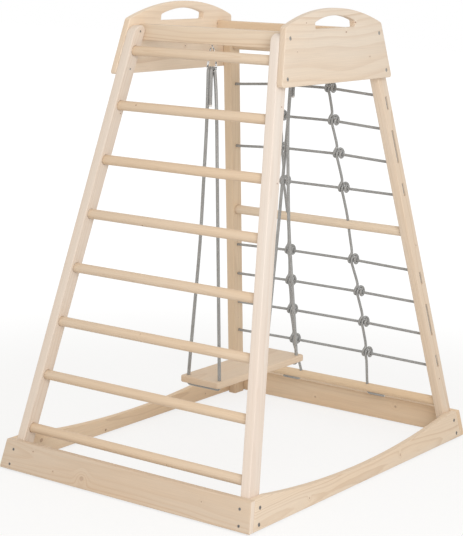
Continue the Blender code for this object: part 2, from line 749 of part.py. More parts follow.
# For each end: X of the two strands over the bow, then points that the strand to the
# hole at +X and the strand to the hole at -X pass, both for the front end's side.
ROPE_RUNS = {
    "front": (0.0050, -0.0066,
              [(0.0090, ROPE_IN, 1.272), (0.0165, ROPE_IN - 0.0015, 1.200), (0.0420, -0.2275, 0.750)],
              [(-0.0240, -0.2330, 0.750), (-0.0076, ROPE_OUT, 1.120), (-0.0066, ROPE_OUT, 1.215)]),
    "back": (0.0066, -0.0050,
             [(0.0085, ROPE_IN, 1.272), (-0.0015, -0.2205, 1.100), (0.0140, -0.2255, 0.750)],
             [(-0.0320, -0.2330, 0.750), (-0.0080, ROPE_OUT, 1.150), (-0.0050, ROPE_OUT, 1.215)]),
}


def swing_rope(name, end, sy):
    """One rope: a laid-back tail, over the carabiner, down, under the seat and up."""
    tail_x, main_x, right_run, left_run = ROPE_RUNS[end]
    bow = Vector((tail_x, -HOOK_Y, BOW_Z))
    hole = -SEAT_HOLE_Y
    seat_bottom = SEAT_TOP - SEAT_THICK
    bend = 0.0075
    run = seat_bottom - bend

    route = [Vector((tail_x, ROPE_OUT, ROPE_TAIL)), Vector((tail_x, ROPE_OUT, 1.225)),
             Vector((tail_x, ROPE_OUT, 1.262))]
    route += ring(bow, OVER_BOW, 180, 0, 6, Y_AXIS, Z_AXIS)
    route += smooth_route(right_run + [(SEAT_HOLE_X, hole, SEAT_TOP + 0.006)], 0.075)
    down = Vector((SEAT_HOLE_X - bend, hole, seat_bottom))
    up = Vector((-SEAT_HOLE_X + bend, hole, seat_bottom))
    route += ring(down, bend, 0, -90, 3, X_AXIS, Z_AXIS)
    route += [Vector((0.02, hole, run)), Vector((-0.02, hole, run))]
    route += ring(up, bend, 270, 180, 3, X_AXIS, Z_AXIS)
    route += smooth_route([(-SEAT_HOLE_X, hole, SEAT_TOP + 0.006)] + left_run
                          + [(main_x, ROPE_OUT, BOW_Z - 0.008)], 0.075)
    tube(name, [Vector((p.x, -sy * p.y, p.z)) for p in route], ROPE_RADIUS, 2)
    print(name, "least gap to itself", round(least_gap(route, ROPE_RADIUS, 0.03) * 1000, 2), "mm")
    length = sum((b - a).length for a, b in zip(route, route[1:]))
    print(name, "length", round(length, 3), "m")


for end, sy in ENDS.items():
    eye(f"swing_eye_{end}", sy)
    carabiner(f"carabiner_{end}", sy)
    gate(f"carabiner_gate_{end}", sy)
    swing_rope(f"swing_rope_{end}", end, sy)

bm = bmesh.new()
bmesh.ops.create_cube(bm, size=1, matrix=Matrix.Diagonal(
    (SEAT_WIDTH, SEAT_LENGTH, SEAT_THICK, 1)))
upright = [e for e in bm.edges if abs(e.verts[0].co.z - e.verts[1].co.z) > 0.001]
bmesh.ops.bevel(bm, geom=upright, offset=0.014, offset_type="OFFSET", segments=3,
                profile=0.5, affect="EDGES", material=-1)
rim = [e for e in bm.edges if sorted(round(abs(f.normal.z)) for f in e.link_faces) == [0, 1]]
bmesh.ops.bevel(bm, geom=rim, offset=0.004, offset_type="OFFSET", segments=1,
                profile=0.5, affect="EDGES", material=-1)
bmesh.ops.translate(bm, vec=(0, 0, SEAT_TOP - SEAT_THICK / 2 - SWING_AXIS_Z), verts=bm.verts)
seat = object_from(bm, "swing_seat", PINE_MAT)
seat.location = (0, 0, SWING_AXIS_Z)
seat_holes = []
for hx in (-SEAT_HOLE_X, SEAT_HOLE_X):
    for hy in (-SEAT_HOLE_Y, SEAT_HOLE_Y):
        seat_holes.append(cylinder("seat_hole", (hx, hy, SEAT_TOP + 0.01),
                                   (hx, hy, SEAT_TOP - SEAT_THICK - 0.01),
                                   ROPE_RADIUS + 0.0009, 10, guide=True))
cut(seat, seat_holes)
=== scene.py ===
"""Looks of an indoor play tower: pine frame, ladder, rope net and plank swing.

Lengths are in metres. X runs along the ladder's rungs, Y from the ladder to the net, Z up.
"""

import logging
import math
import random
from collections import defaultdict
from collections.abc import Callable
from dataclasses import dataclass
from enum import Enum

import bmesh
import bpy
from mathutils import Matrix, Vector


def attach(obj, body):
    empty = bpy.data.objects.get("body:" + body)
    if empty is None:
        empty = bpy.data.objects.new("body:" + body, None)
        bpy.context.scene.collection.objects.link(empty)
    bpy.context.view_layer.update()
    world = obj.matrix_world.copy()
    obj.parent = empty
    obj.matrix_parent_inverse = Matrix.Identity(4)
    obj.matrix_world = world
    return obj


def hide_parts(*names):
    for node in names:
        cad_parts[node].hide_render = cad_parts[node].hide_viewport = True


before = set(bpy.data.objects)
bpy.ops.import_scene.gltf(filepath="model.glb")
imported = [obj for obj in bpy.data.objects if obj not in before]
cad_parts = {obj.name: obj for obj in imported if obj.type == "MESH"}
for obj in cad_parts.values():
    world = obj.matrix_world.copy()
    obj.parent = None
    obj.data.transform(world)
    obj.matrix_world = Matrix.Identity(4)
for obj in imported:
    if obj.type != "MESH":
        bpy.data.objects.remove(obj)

LOG = logging.getLogger("play_tower")
X_AXIS = Vector((1, 0, 0))
Y_AXIS = Vector((0, 1, 0))
Z_AXIS = Vector((0, 0, 1))

Socket = bpy.types.NodeSocket
Node = bpy.types.Node
Material = bpy.types.Material
Mesh = bmesh.types.BMesh
Vert = bmesh.types.BMVert
Edge = bmesh.types.BMEdge
Face = bmesh.types.BMFace
Route = list[Vector]
Triple = tuple[float, float, float]
Cutters = dict[str, list[Mesh]]


class Side(Enum):
    """Left and right of the ladder."""

    LEFT = -1
    RIGHT = 1


class End(Enum):
    """Ladder end and net end."""

    FRONT = -1
    BACK = 1


class Body(Enum):
    """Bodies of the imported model."""

    FRAME = "frame"
    SWING = "swing"
    GATE_FRONT = "gate_front"
    GATE_BACK = "gate_back"


LEGS = [(end, side) for end in End for side in Side]


def tag(*places: End | Side) -> str:
    """The part of a node's name that says where it is, such as front_left."""
    return "_".join(place.name.lower() for place in places)


@dataclass(frozen=True)
class TowerSizes:
    """Driving dimensions that the sub-assemblies share."""

    leg_height: float = 1.430
    half_width_base: float = 0.4727
    half_width_top: float = 0.2897
    half_depth_base: float = 0.6483
    half_depth_top: float = 0.2865
    leg_x: float = 0.033
    leg_y: float = 0.054
    board: float = 0.022
    gap: float = 0.0003
    bar_radius: float = 0.016
    bar_sink: float = 0.016
    bar_play: float = 0.0009
    bar_edge: float = 0.001
    bar_sides: int = 56
    hole_over: float = 0.02
    rung_top: float = 1.3495
    rung_pitch: float = 0.1737
    rung_count: int = 8
    beam_bottom: float = 1.382
    beam_top: float = 1.433
    beam: float = 0.033
    cord: float = 0.0095
    groove_depth: float = 0.0054
    eye_wire: float = 0.005
    eye_ring: float = 0.0105
    eye_neck: float = 0.007
    rope: float = 0.011

    @property
    def lean_x(self) -> float:
        """How far a leg leans inwards along X for each metre of height."""
        return (self.half_width_base - self.half_width_top) / self.leg_height

    @property
    def lean_y(self) -> float:
        """How far a leg leans inwards along Y for each metre of height."""
        return (self.half_depth_base - self.half_depth_top) / self.leg_height

    @property
    def tilt_x(self) -> float:
        """Angle of the side planes from upright."""
        return math.atan(self.lean_x)

    @property
    def tilt_y(self) -> float:
        """Angle of the ladder's and the net's planes from upright."""
        return math.atan(self.lean_y)

    @property
    def board_x(self) -> float:
        """A side board's thickness measured along X."""
        return self.board / math.cos(self.tilt_x)

    @property
    def board_y(self) -> float:
        """A front or back board's thickness measured along Y."""
        return self.board / math.cos(self.tilt_y)

    @property
    def beam_y(self) -> float:
        """A beam's thickness measured along Y."""
        return self.beam / math.cos(self.tilt_y)

    @property
    def hook_y(self) -> float:
        """Distance of the screw eyes from the middle, along Y."""
        return self.half_depth(self.beam_bottom) - self.leg_y - self.gap - self.beam_y / 2

    @property
    def swing_axis_z(self) -> float:
        """Height of the line that the swing turns about."""
        return self.beam_bottom - self.eye_neck - self.eye_wire / 2 - 2 * self.eye_ring

    def half_width(self, z: float) -> float:
        """Outer face of a leg at a height, along X."""
        return self.half_width_base - self.lean_x * z

    def half_depth(self, z: float) -> float:
        """Outer face of a leg at a height, along Y."""
        return self.half_depth_base - self.lean_y * z

    def outer_width(self, z: float) -> float:
        """Outer face of a side board at a height, along X."""
        return self.half_width(z) + self.gap + self.board_x

    def leg_middle_y(self, z: float) -> float:
        """Plane through the middle of the legs at one end."""
        return self.half_depth(z) - self.leg_y / 2

    def inner_width(self, z: float) -> float:
        """Inner face of a leg at a height, along X."""
        return self.half_width(z) - self.leg_x

    def lean(self, side_x: int, side_y: int) -> Matrix:
        """Shear that leans an upright piece inwards with the legs.

        Args:
            side_x: 1 or -1 for the right or left side, 0 for none.
            side_y: 1 or -1 for the back or front, 0 for none.

        Returns:
            The shear matrix.
        """
        matrix = Matrix.Identity(4)
        matrix[0][2] = -side_x * self.lean_x
        matrix[1][2] = -side_y * self.lean_y
        return matrix


SIZES = TowerSizes()


# Shaders


class NodeNet:
    """The node tree of a material or a world, with short calls for its usual nodes."""

    def __init__(self, owner: Material | bpy.types.World) -> None:
        """Take over the owner's nodes.

        Args:
            owner: A material or a world.
        """
        owner.use_nodes = True
        self.owner = owner
        self.tree = owner.node_tree

    def feed(self, node: Node, inputs: dict[str | int, object]) -> None:
        """Link or set inputs of a node.

        Args:
            node: The node.
            inputs: A socket or a value for each input, by its name or number.
        """
        for key, value in inputs.items():
            if isinstance(value, Socket):
                self.tree.links.new(value, node.inputs[key])
            else:
                node.inputs[key].default_value = value

    def node(self, kind: str, inputs: dict[str | int, object], **settings: str) -> Node:
        """Add a node.

        Args:
            kind: Its type, as it stands after ShaderNode.
            inputs: What its inputs take.
            settings: Its other settings.

        Returns:
            The node.
        """
        node = self.tree.nodes.new("ShaderNode" + kind)
        for name, value in settings.items():
            setattr(node, name, value)
        self.feed(node, inputs)
        return node

    def math(self, operation: str, *values: Socket | float) -> Socket:
        """Add a Math node."""
        return self.node("Math", dict(enumerate(values)), operation=operation).outputs[0]

    def length(self, first: Socket, second: Socket) -> Socket:
        """Length of the slope over two lengths at right angles."""
        squares = [self.math("POWER", value, 2.0) for value in (first, second)]
        return self.math("SQRT", self.math("ADD", *squares))

    def vector(self, operation: str, *values: Socket | Vector) -> Socket:
        """Add a Vector Math node."""
        node = self.node("VectorMath", dict(enumerate(values)), operation=operation)
        return node.outputs["Value" if operation in ("DOT_PRODUCT", "LENGTH") else "Vector"]

    def coordinates(self, kind: str) -> Socket:
        """Texture coordinates of one kind, such as Object, Normal or UV."""
        return self.node("TexCoord", {}).outputs[kind]

    def noise(self, place: Socket, scale: float, detail: float = 2.0) -> Socket:
        """Add a Noise Texture and give its factor."""
        inputs = {"Vector": place, "Scale": scale, "Detail": detail}
        return self.node("TexNoise", inputs).outputs["Fac"]

    def streaks(self, place: Socket, stretch: Triple, detail: float) -> Socket:
        """Noise drawn out by a factor for each direction."""
        return self.noise(self.vector("MULTIPLY", place, Vector(stretch)), 1.0, detail)

    def mix(self, factor: Socket | float, first: Socket | Triple, second: Socket | Triple,
            blend: str = "MIX") -> Socket:
        """Mix two colours.

        Args:
            factor: Share of the second colour.
            first: The first colour.
            second: The second colour.
            blend: How they mix.

        Returns:
            The mixed colour.
        """
        pair = [(*value, 1.0) if isinstance(value, tuple) else value for value in (first, second)]
        inputs = {0: factor, 6: pair[0], 7: pair[1]}
        return self.node("Mix", inputs, data_type="RGBA", blend_type=blend).outputs[2]

    def span(self, value: Socket, low: float, high: float, out_low: float = 0.0,
             out_high: float = 1.0, smooth: bool = True) -> Socket:
        """Map a value from one range to another, clamped.

        Args:
            value: The value.
            low: Start of the range that it comes from.
            high: End of that range.
            out_low: Start of the range that it goes to.
            out_high: End of that range.
            smooth: True to ease in and out.

        Returns:
            The mapped value.
        """
        inputs = {"Value": value, "From Min": low, "From Max": high, "To Min": out_low,
                  "To Max": out_high}
        kind = "SMOOTHSTEP" if smooth else "LINEAR"
        return self.node("MapRange", inputs, interpolation_type=kind).outputs["Result"]

    def shade(self, colour: Socket | Triple, value: Socket) -> Socket:
        """Multiply a colour by a brightness."""
        grey = self.node("CombineColor", dict.fromkeys(("Red", "Green", "Blue"), value))
        return self.mix(1.0, colour, grey.outputs["Color"], "MULTIPLY")

    def split(self, vector: Socket) -> list[Socket]:
        """Give a vector's three parts."""
        return list(self.node("SeparateXYZ", {"Vector": vector}).outputs)

    def paint(self, colour: Socket, roughness: Socket, height: Socket, relief: tuple[float, float],
              more: dict[str, float] | None = None) -> Material:
        """Drive the Principled shader.

        Args:
            colour: Its base colour.
            roughness: Its roughness.
            height: Height that a bump is made from.
            relief: The bump's distance and strength.
            more: Values for its other inputs.

        Returns:
            The material.
        """
        distance, strength = relief
        bump = self.node("Bump", {"Height": height, "Distance": distance, "Strength": strength})
        inputs = {"Base Color": colour, "Roughness": roughness, "Normal": bump.outputs["Normal"]}
        self.feed(self.tree.nodes["Principled BSDF"], {**inputs, **(more or {})})
        return self.owner

    def blend(self, factor: Socket, first: Node, second: Node, output: str) -> None:
        """Mix two shaders by a factor, and link them to the output of that name."""
        both = self.node("MixShader", {0: factor, 1: first.outputs[0], 2: second.outputs[0]})
        self.feed(self.tree.nodes[output], {"Surface": both.outputs[0]})


@dataclass(frozen=True)
class Knot:
    """A knot in a board's wide face, placed in the board's own directions."""

    along: float
    across: float
    radius: float
    strength: float = 0.85
    swell_width: float = 2.6
    swell_height: float = 1.6


def some_knots(seed: int, half_length: float, half_width: float, count: int) -> list[Knot]:
    """A few small knots at places that a seed picks.

    Args:
        seed: Picks the places.
        half_length: Half the length of the face.
        half_width: Half its width.
        count: Number of knots.

    Returns:
        The knots.
    """
    chance = random.Random(1000 + seed)
    return [Knot(chance.uniform(-0.9, 0.9) * half_length, chance.uniform(-0.7, 0.7) * half_width,
                 chance.uniform(0.0014, 0.0028)) for _ in range(count)]


@dataclass(frozen=True)
class Lay:
    """How a piece lies in its log: its middle, its grain and its wide face."""

    centre: Vector
    grain: Vector
    across: Vector

    def turn(self) -> Matrix:
        """Turn the board's own directions to the tower's.

        Returns:
            The rotation.
        """
        grain = self.grain.normalized()
        across = (self.across - self.across.dot(grain) * grain).normalized()
        return Matrix((grain, across, grain.cross(across))).transposed()

    def knot_at(self, place: Vector, radius: float, strength: float = 0.85) -> Knot:
        """A knot at a place given in the tower's own directions."""
        local = self.turn().transposed() @ (place - self.centre)
        return Knot(local.x, local.y, radius, strength)


@dataclass(frozen=True)
class PineFinish:
    """Planed and oiled pine, with rings, fibres, knots and end grain.

    The stretches say how often a pattern changes in a metre along, across and through the wood.
    """

    early: Triple = (0.800, 0.655, 0.510)
    warm: Triple = (0.800, 0.625, 0.460)
    late: Triple = (0.560, 0.370, 0.220)
    knot: Triple = (0.300, 0.150, 0.080)
    ring_width: float = 0.0050
    ring_strength: float = 0.50
    pith: float = 0.085
    wander: float = 0.030
    wander_stretch: Triple = (1.6, 5.0, 5.0)
    ripple: float = 0.0022
    ripple_stretch: Triple = (7.0, 40.0, 40.0)
    fibre_stretch: Triple = (9.0, 700.0, 700.0)
    tone_stretch: Triple = (1.1, 9.0, 9.0)
    spread: float = 40.0
    end: Triple = (0.560, 0.370, 0.220)
    end_shade: float = 0.12
    roughness: float = 0.52
    relief: tuple[float, float] = (0.00012, 0.6)

    def dress(self, name: str, lay: Lay, knots: list[Knot], seed: int) -> Material:
        """Make the material of one piece.

        Args:
            name: Name of the material.
            lay: How the piece lies in its log.
            knots: Knots in its wide face.
            seed: Number that picks the piece's own pattern.

        Returns:
            The finished material.
        """
        chance = random.Random(seed)
        net = NodeNet(bpy.data.materials.new(name))
        here = net.node("Mapping", {"Vector": net.coordinates("Object"), "Location": lay.centre,
                                    "Rotation": lay.turn().to_euler()},
                        vector_type="TEXTURE").outputs["Vector"]
        shift = Vector([chance.uniform(-self.spread, self.spread) for _ in range(3)])
        shifted = net.vector("ADD", here, shift)

        along, across, through = net.split(here)
        pith_y = chance.uniform(-0.35, 0.35) * self.pith
        pith_z = self.pith * chance.choice((-1, 1)) * chance.uniform(0.8, 1.3)
        reach = net.length(net.math("ADD", across, pith_y), net.math("ADD", through, pith_z))
        wander = net.streaks(shifted, self.wander_stretch, 1.0)
        ripple = net.streaks(shifted, self.ripple_stretch, 2.0)
        reach = net.math("MULTIPLY_ADD", wander, self.wander, reach)
        reach = net.math("MULTIPLY_ADD", ripple, self.ripple, reach)

        knot_mask: Socket | float = 0.0
        for spot in knots:
            away = net.length(net.math("SUBTRACT", along, spot.along),
                              net.math("SUBTRACT", across, spot.across))
            fall = net.math("MULTIPLY", net.math("POWER", away, 2.0),
                            -1.0 / (spot.swell_width * spot.radius) ** 2)
            reach = net.math("MULTIPLY_ADD", net.math("EXPONENT", fall),
                             spot.swell_height * spot.radius, reach)
            core = net.span(away, 0.70 * spot.radius, 1.15 * spot.radius, spot.strength, 0.0)
            knot_mask = net.math("MAXIMUM", knot_mask, core)

        turns = net.math("DIVIDE", reach, self.ring_width)
        place = net.math("FRACT", turns)
        late = net.math("MULTIPLY", net.span(place, 0.45, 0.92),
                        net.span(place, 0.92, 1.0, 1.0, 0.0))
        fade = net.node("TexWhiteNoise", {}, noise_dimensions="1D")
        net.feed(fade, {"W": net.math("FLOOR", turns)})
        late = net.math("MULTIPLY", late, net.span(fade.outputs["Value"], 0.0, 1.0, 0.25, 1.0))
        fibre = net.streaks(shifted, self.fibre_stretch, 3.0)
        tone = net.streaks(shifted, self.tone_stretch, 2.0)

        colour = net.mix(net.span(tone, 0.35, 0.65), self.early, self.warm)
        colour = net.mix(net.math("MULTIPLY", late, self.ring_strength), colour, self.late)
        colour = net.shade(colour, net.span(fibre, 0.25, 0.75, 0.93, 1.05, smooth=False))
        facing = net.vector("DOT_PRODUCT", net.coordinates("Normal"), lay.grain.normalized())
        end_grain = net.span(net.math("ABSOLUTE", facing), 0.80, 0.97)
        # End faces take the end colour: darker end grain on most pieces, painted light on the
        # front board's lighter ends
        colour = net.mix(net.math("MULTIPLY", end_grain, self.end_shade), colour, self.end)
        if knots:
            colour = net.mix(knot_mask, colour, self.knot)
        rough = net.span(fibre, 0.2, 0.8, self.roughness - 0.06, self.roughness + 0.08, False)
        return net.paint(colour, rough, net.math("MULTIPLY_ADD", late, 0.5, fibre), self.relief)


@dataclass(frozen=True)
class CordFinish:
    """Braided polyester: diagonal plaits that pass over and under each other, with painted shade
    darkening the grooves between them.
    """

    light: Triple = (0.560, 0.563, 0.556)
    # dark is painted shade: the colour deep in the grooves between the plaits
    dark: Triple = (0.070, 0.072, 0.073)
    cut: Triple = (0.780, 0.775, 0.760)
    plaits: int = 8
    slant: float = 0.55
    fuzz_scale: float = 900.0
    soil_scale: float = 22.0
    gloss: float = 0.85
    relief: tuple[float, float] = (0.0003, 0.5)

    def dress(self, name: str, diameter: float) -> Material:
        """Make the material of a cord whose UV map runs round and along it in metres.

        Args:
            name: Name of the material.
            diameter: The cord's diameter.

        Returns:
            The finished material.
        """
        net = NodeNet(bpy.data.materials.new(name))
        around, along, _ = net.split(net.coordinates("UV"))
        turn = net.math("MULTIPLY", around, float(self.plaits))
        step = net.math("MULTIPLY", along, self.slant * self.plaits / (math.pi * diameter))
        plaits = [net.math(way, turn, step) for way in ("ADD", "SUBTRACT")]
        crests = [net.math("SINE", net.math("MULTIPLY", net.math("FRACT", p), math.pi))
                  for p in plaits]
        squares = net.math("ADD", *[net.math("FLOOR", p) for p in plaits])
        over = net.math("FLOORED_MODULO", squares, 2.0)
        under = net.math("SUBTRACT", 1.0, over)
        height = net.math("ADD", net.math("MULTIPLY", crests[0], under),
                          net.math("MULTIPLY", crests[1], over))
        fuzz = net.noise(net.coordinates("Object"), self.fuzz_scale)
        soil = net.noise(net.coordinates("Object"), self.soil_scale)
        # Painted shade: the colour runs from light on the plaits' crests to dark in the grooves
        # between them
        colour = net.mix(net.span(height, 0.30, 1.00), self.dark, self.light)
        colour = net.shade(colour, net.math("MULTIPLY", net.span(fuzz, 0.3, 0.7, 0.90, 1.06),
                                            net.span(soil, 0.3, 0.7, 0.94, 1.04)))
        sealed = net.node("Attribute", {}, attribute_name="cut").outputs["Fac"]
        colour = net.mix(sealed, colour, self.cut)
        rough = net.span(fuzz, 0.3, 0.7, 0.24, 0.34)
        return net.paint(colour, rough, height, self.relief, {"Specular IOR Level": self.gloss})


@dataclass(frozen=True)
class SteelFinish:
    """Plated steel with drawn lines and darker patches, which are faint mottling when shallow and
    painted reflection when deep.
    """

    colour: Triple
    roughness: float
    metallic: float = 1.0
    mottle_and_painted_reflection: float = 0.80
    patch_scale: float = 160.0
    speck_scale: float = 1400.0
    relief: tuple[float, float] = (0.00003, 0.5)

    def dress(self, name: str) -> Material:
        """Make the material.

        Args:
            name: Its name.

        Returns:
            The finished material.
        """
        net = NodeNet(bpy.data.materials.new(name))
        where = net.coordinates("Object")
        mottle_and_painted_reflection = net.noise(where, self.patch_scale, 3.0)
        speck = net.noise(where, self.speck_scale, 1.0)
        # Darker patches where the noise is low: faint mottling on the dark and pale steel, painted
        # reflection where they go deep as on zinc
        colour = net.shade(self.colour, net.span(mottle_and_painted_reflection, 0.42, 0.58, self.mottle_and_painted_reflection, 1.0))
        rough = net.span(speck, 0.3, 0.7, self.roughness - 0.06, self.roughness + 0.08)
        return net.paint(colour, rough, speck, self.relief, {"Metallic": self.metallic})


# Leg tints run from palest at the front right, nearest the key lamp, to darkest and warmest at the
# back left: partly their own tone, partly painted light and shade
LEG_LOOKS = {
    (End.FRONT, Side.LEFT): PineFinish(
        (0.805, 0.702, 0.610), (0.805, 0.675, 0.560), (0.620, 0.440, 0.300),
        ring_width=0.0038, ring_strength=0.34),
    (End.FRONT, Side.RIGHT): PineFinish(
        (0.830, 0.745, 0.672), (0.830, 0.715, 0.625), (0.640, 0.460, 0.330),
        ring_width=0.0038, ring_strength=0.32),
    (End.BACK, Side.LEFT): PineFinish(
        (0.790, 0.645, 0.490), (0.780, 0.610, 0.435), ring_width=0.0038, ring_strength=0.42),
    (End.BACK, Side.RIGHT): PineFinish(
        (0.805, 0.695, 0.585), (0.800, 0.650, 0.505), (0.600, 0.420, 0.260),
        ring_width=0.0042, ring_strength=0.42)}
# Front board: darker than the other boards, partly its own wood and partly painted shade for its
# low place; its lighter end colour is painted light on its end faces
FRONT_PINE = PineFinish((0.700, 0.567, 0.440), (0.698, 0.540, 0.397), end=(0.860, 0.750, 0.650),
                        end_shade=0.75)
RAIL_PINE = PineFinish((0.810, 0.678, 0.540), (0.810, 0.650, 0.490), ring_width=0.0033,
                       ring_strength=0.46)
BEAM_PINE = PineFinish((0.775, 0.645, 0.508), (0.775, 0.622, 0.466))
# Warmer, more saturated pine for the pieces seen in shade (back board, left rail, back beam):
# painted warm shade
WARM_PINE = PineFinish((0.820, 0.660, 0.490), (0.815, 0.620, 0.430), ring_strength=0.34)
SEAT_PINE = PineFinish((0.790, 0.640, 0.490), (0.780, 0.610, 0.450), ring_width=0.0042,
                       ring_strength=0.26, end_shade=0.18)
PLATE_PINE = PineFinish((0.800, 0.690, 0.575), (0.800, 0.665, 0.530), (0.590, 0.410, 0.270),
                        ring_width=0.0100, ring_strength=0.50, pith=0.17, end_shade=0.25)
# Left plate: lighter than the right plate's wood, painted light on its inner face
LEFT_PLATE_PINE = PineFinish((0.880, 0.748, 0.612), (0.880, 0.728, 0.572), (0.620, 0.430, 0.280),
                             ring_width=0.0100, ring_strength=0.40, pith=0.17, end_shade=0.25)
# The middle net bar's dowel is lighter than the rungs' and the other bars': painted light
DOWEL, MIDDLE_DOWEL, LOW_DOWEL = [
    PineFinish(early, warm, ring_width=0.0030, ring_strength=0.26, pith=0.060)
    for early, warm in (((0.760, 0.615, 0.470), (0.760, 0.590, 0.425)),
                        ((0.830, 0.700, 0.555), (0.825, 0.675, 0.515)),
                        ((0.790, 0.620, 0.435), (0.785, 0.590, 0.395)))]
# Zinc: patches darken down to 0.28 of its colour, a painted reflection on the bright metal
ZINC = SteelFinish((0.78, 0.78, 0.77), 0.16, mottle_and_painted_reflection=0.28)
DARK_STEEL = SteelFinish((0.250, 0.240, 0.228), 0.40, 0.85)
PALE_STEEL = SteelFinish((0.420, 0.405, 0.380), 0.36, 0.85)

# Finish of each board, and its knots: where along it, how high, their radius and their strength
BOARD_LOOKS: dict[str, tuple[PineFinish, tuple[tuple[float, ...], ...]]] = {
    "base_board_front": (FRONT_PINE, (
        (-0.364, 0.0775, 0.0028, 0.7), (-0.270, 0.031, 0.0022, 0.7),
        (-0.151, 0.032, 0.0085, 0.32), (0.310, 0.060, 0.0026, 0.5))),
    "base_board_back": (WARM_PINE, (
        (0.235, 0.070, 0.0050, 0.5), (-0.110, 0.040, 0.0040, 0.5))),
    "base_rail_left": (WARM_PINE, (
        (-0.153, 0.018, 0.0050, 0.75), (-0.497, 0.062, 0.0080, 0.55),
        (0.436, 0.028, 0.0030, 0.7))),
    "base_rail_right": (RAIL_PINE, (
        (0.22, 0.034, 0.0040, 0.4), (-0.34, 0.030, 0.0030, 0.5))),
    "side_plate_left": (LEFT_PLATE_PINE, (
        (0.034, 1.354, 0.0028), (0.204, 1.4245, 0.0034), (-0.140, 1.330, 0.0020))),
    "side_plate_right": (PLATE_PINE, (
        (-0.168, 1.4615, 0.0022), (0.120, 1.4560, 0.0030), (0.059, 1.4271, 0.0030),
        (-0.230, 1.3757, 0.0018), (0.194, 1.3438, 0.0022))),
    "top_beam_front": (BEAM_PINE, ()),
    "top_beam_back": (WARM_PINE, ())}


# Shapes


@dataclass(frozen=True)
class Corner:
    """A corner of a flat outline, with its rounding and the arch that follows it."""

    u: float
    v: float
    radius: float = 0.0
    rise: float = 0.0


def only(geom: list, kind: type) -> list:
    """The vertices, edges or faces among what an operator gives."""
    return [item for item in geom if isinstance(item, kind)]


def move(bm: Mesh, matrix: Matrix) -> None:
    """Place a whole mesh."""
    bmesh.ops.transform(bm, matrix=matrix, verts=bm.verts)


def facing(place: Vector, outward: Vector) -> Matrix:
    """Placement at a point, with Z turned to a direction."""
    return Matrix.Translation(place) @ outward.to_track_quat("Z", "Y").to_matrix().to_4x4()


def bevel(bm: Mesh, geom: list, radius: float, segments: int, affect: str = "EDGES") -> None:
    """Round some edges or corners of a mesh.

    Args:
        bm: The mesh.
        geom: The edges or vertices.
        radius: Width of the rounding.
        segments: Number of its steps.
        affect: EDGES or VERTICES.
    """
    bmesh.ops.bevel(bm, geom=geom, offset=radius, offset_type="OFFSET", segments=segments,
                    profile=0.5, affect=affect, material=-1)


def ease(bm: Mesh, radius: float, sharper_than: float = 50.0, segments: int = 4) -> None:
    """Round the edges that are sharper than an angle in degrees.

    Args:
        bm: The mesh.
        radius: Width of the rounding.
        sharper_than: The angle.
        segments: Number of steps of a rounding.
    """
    limit = math.radians(sharper_than)
    sharp = [e for e in bm.edges if e.is_manifold and e.calc_face_angle() > limit]
    bevel(bm, sharp, radius, segments)


def rim_edges(bm: Mesh, axis: int) -> list[Edge]:
    """Edges round the faces that look along an axis."""
    return [e for e in bm.edges
            if sorted(round(abs(f.normal[axis])) for f in e.link_faces) == [0, 1]]


def block(size: Triple, centre: Vector) -> Mesh:
    """Make a block.

    Args:
        size: Its sizes along X, Y and Z.
        centre: Its middle.

    Returns:
        The closed mesh.
    """
    bm = bmesh.new()
    place = Matrix.Translation(centre) @ Matrix.Diagonal((*size, 1))
    bmesh.ops.create_cube(bm, size=1, matrix=place)
    return bm


def outline_face(corners: list[Corner], steps: int = 32) -> Mesh:
    """Draw a flat face in the XY plane.

    Args:
        corners: The outline's corners, anticlockwise.
        steps: Number of stretches in an arch.

    Returns:
        A mesh of one face.
    """
    bm = bmesh.new()
    points = [bm.verts.new((c.u, c.v, 0)) for c in corners]
    for index, corner in enumerate(corners):
        start, stop = points[index], points[(index + 1) % len(points)]
        if corner.rise == 0.0:
            bm.edges.new((start, stop))
            continue
        chord = stop.co - start.co
        outward = Vector((chord.y, -chord.x, 0)).normalized()
        half = chord.length / 2
        radius = (half * half + corner.rise ** 2) / (2 * corner.rise)
        centre = (start.co + stop.co) / 2 + outward * (corner.rise - radius)
        angle = 2 * math.asin(half / abs(radius)) * (1 if radius > 0 else -1)
        bmesh.ops.spin(bm, geom=[start], cent=centre, axis=Z_AXIS, angle=angle, steps=steps)
    bmesh.ops.remove_doubles(bm, verts=bm.verts, dist=5e-5)
    bmesh.ops.contextual_create(bm, geom=bm.edges)
    for corner in corners:
        if corner.radius:
            here = Vector((corner.u, corner.v, 0))
            spot = min(bm.verts, key=lambda v: (v.co - here).length)
            arms = [edge.other_vert(spot).co - spot.co for edge in spot.link_edges]
            reach = corner.radius / math.tan(arms[0].angle(arms[1]) / 2)
            bevel(bm, [spot], reach, 8, "VERTICES")
    bmesh.ops.recalc_face_normals(bm, faces=bm.faces)
    return bm


def thicken(bm: Mesh, depth: float) -> None:
    """Give a flat face in the XY plane a thickness along +Z.

    Args:
        bm: The mesh of that face.
        depth: The thickness.
    """
    grown = bmesh.ops.extrude_face_region(bm, geom=bm.faces[:])["geom"]
    bmesh.ops.translate(bm, verts=only(grown, Vert), vec=(0, 0, depth))
    bmesh.ops.recalc_face_normals(bm, faces=bm.faces)


def rod(start: Vector, end: Vector, radius: float, sides: int = 48, soft: float = 0.0) -> Mesh:
    """Make a round bar between two points.

    Args:
        start: Middle of one end.
        end: Middle of the other end.
        radius: Its radius.
        sides: Number of its sides.
        soft: Rounding of its ends.

    Returns:
        The closed mesh.
    """
    bm = bmesh.new()
    along = end - start
    bmesh.ops.create_cone(bm, cap_ends=True, segments=sides, radius1=radius, radius2=radius,
                          depth=along.length, matrix=facing((start + end) / 2, along))
    if soft:
        ease(bm, soft, 60.0, 3)
    return bm


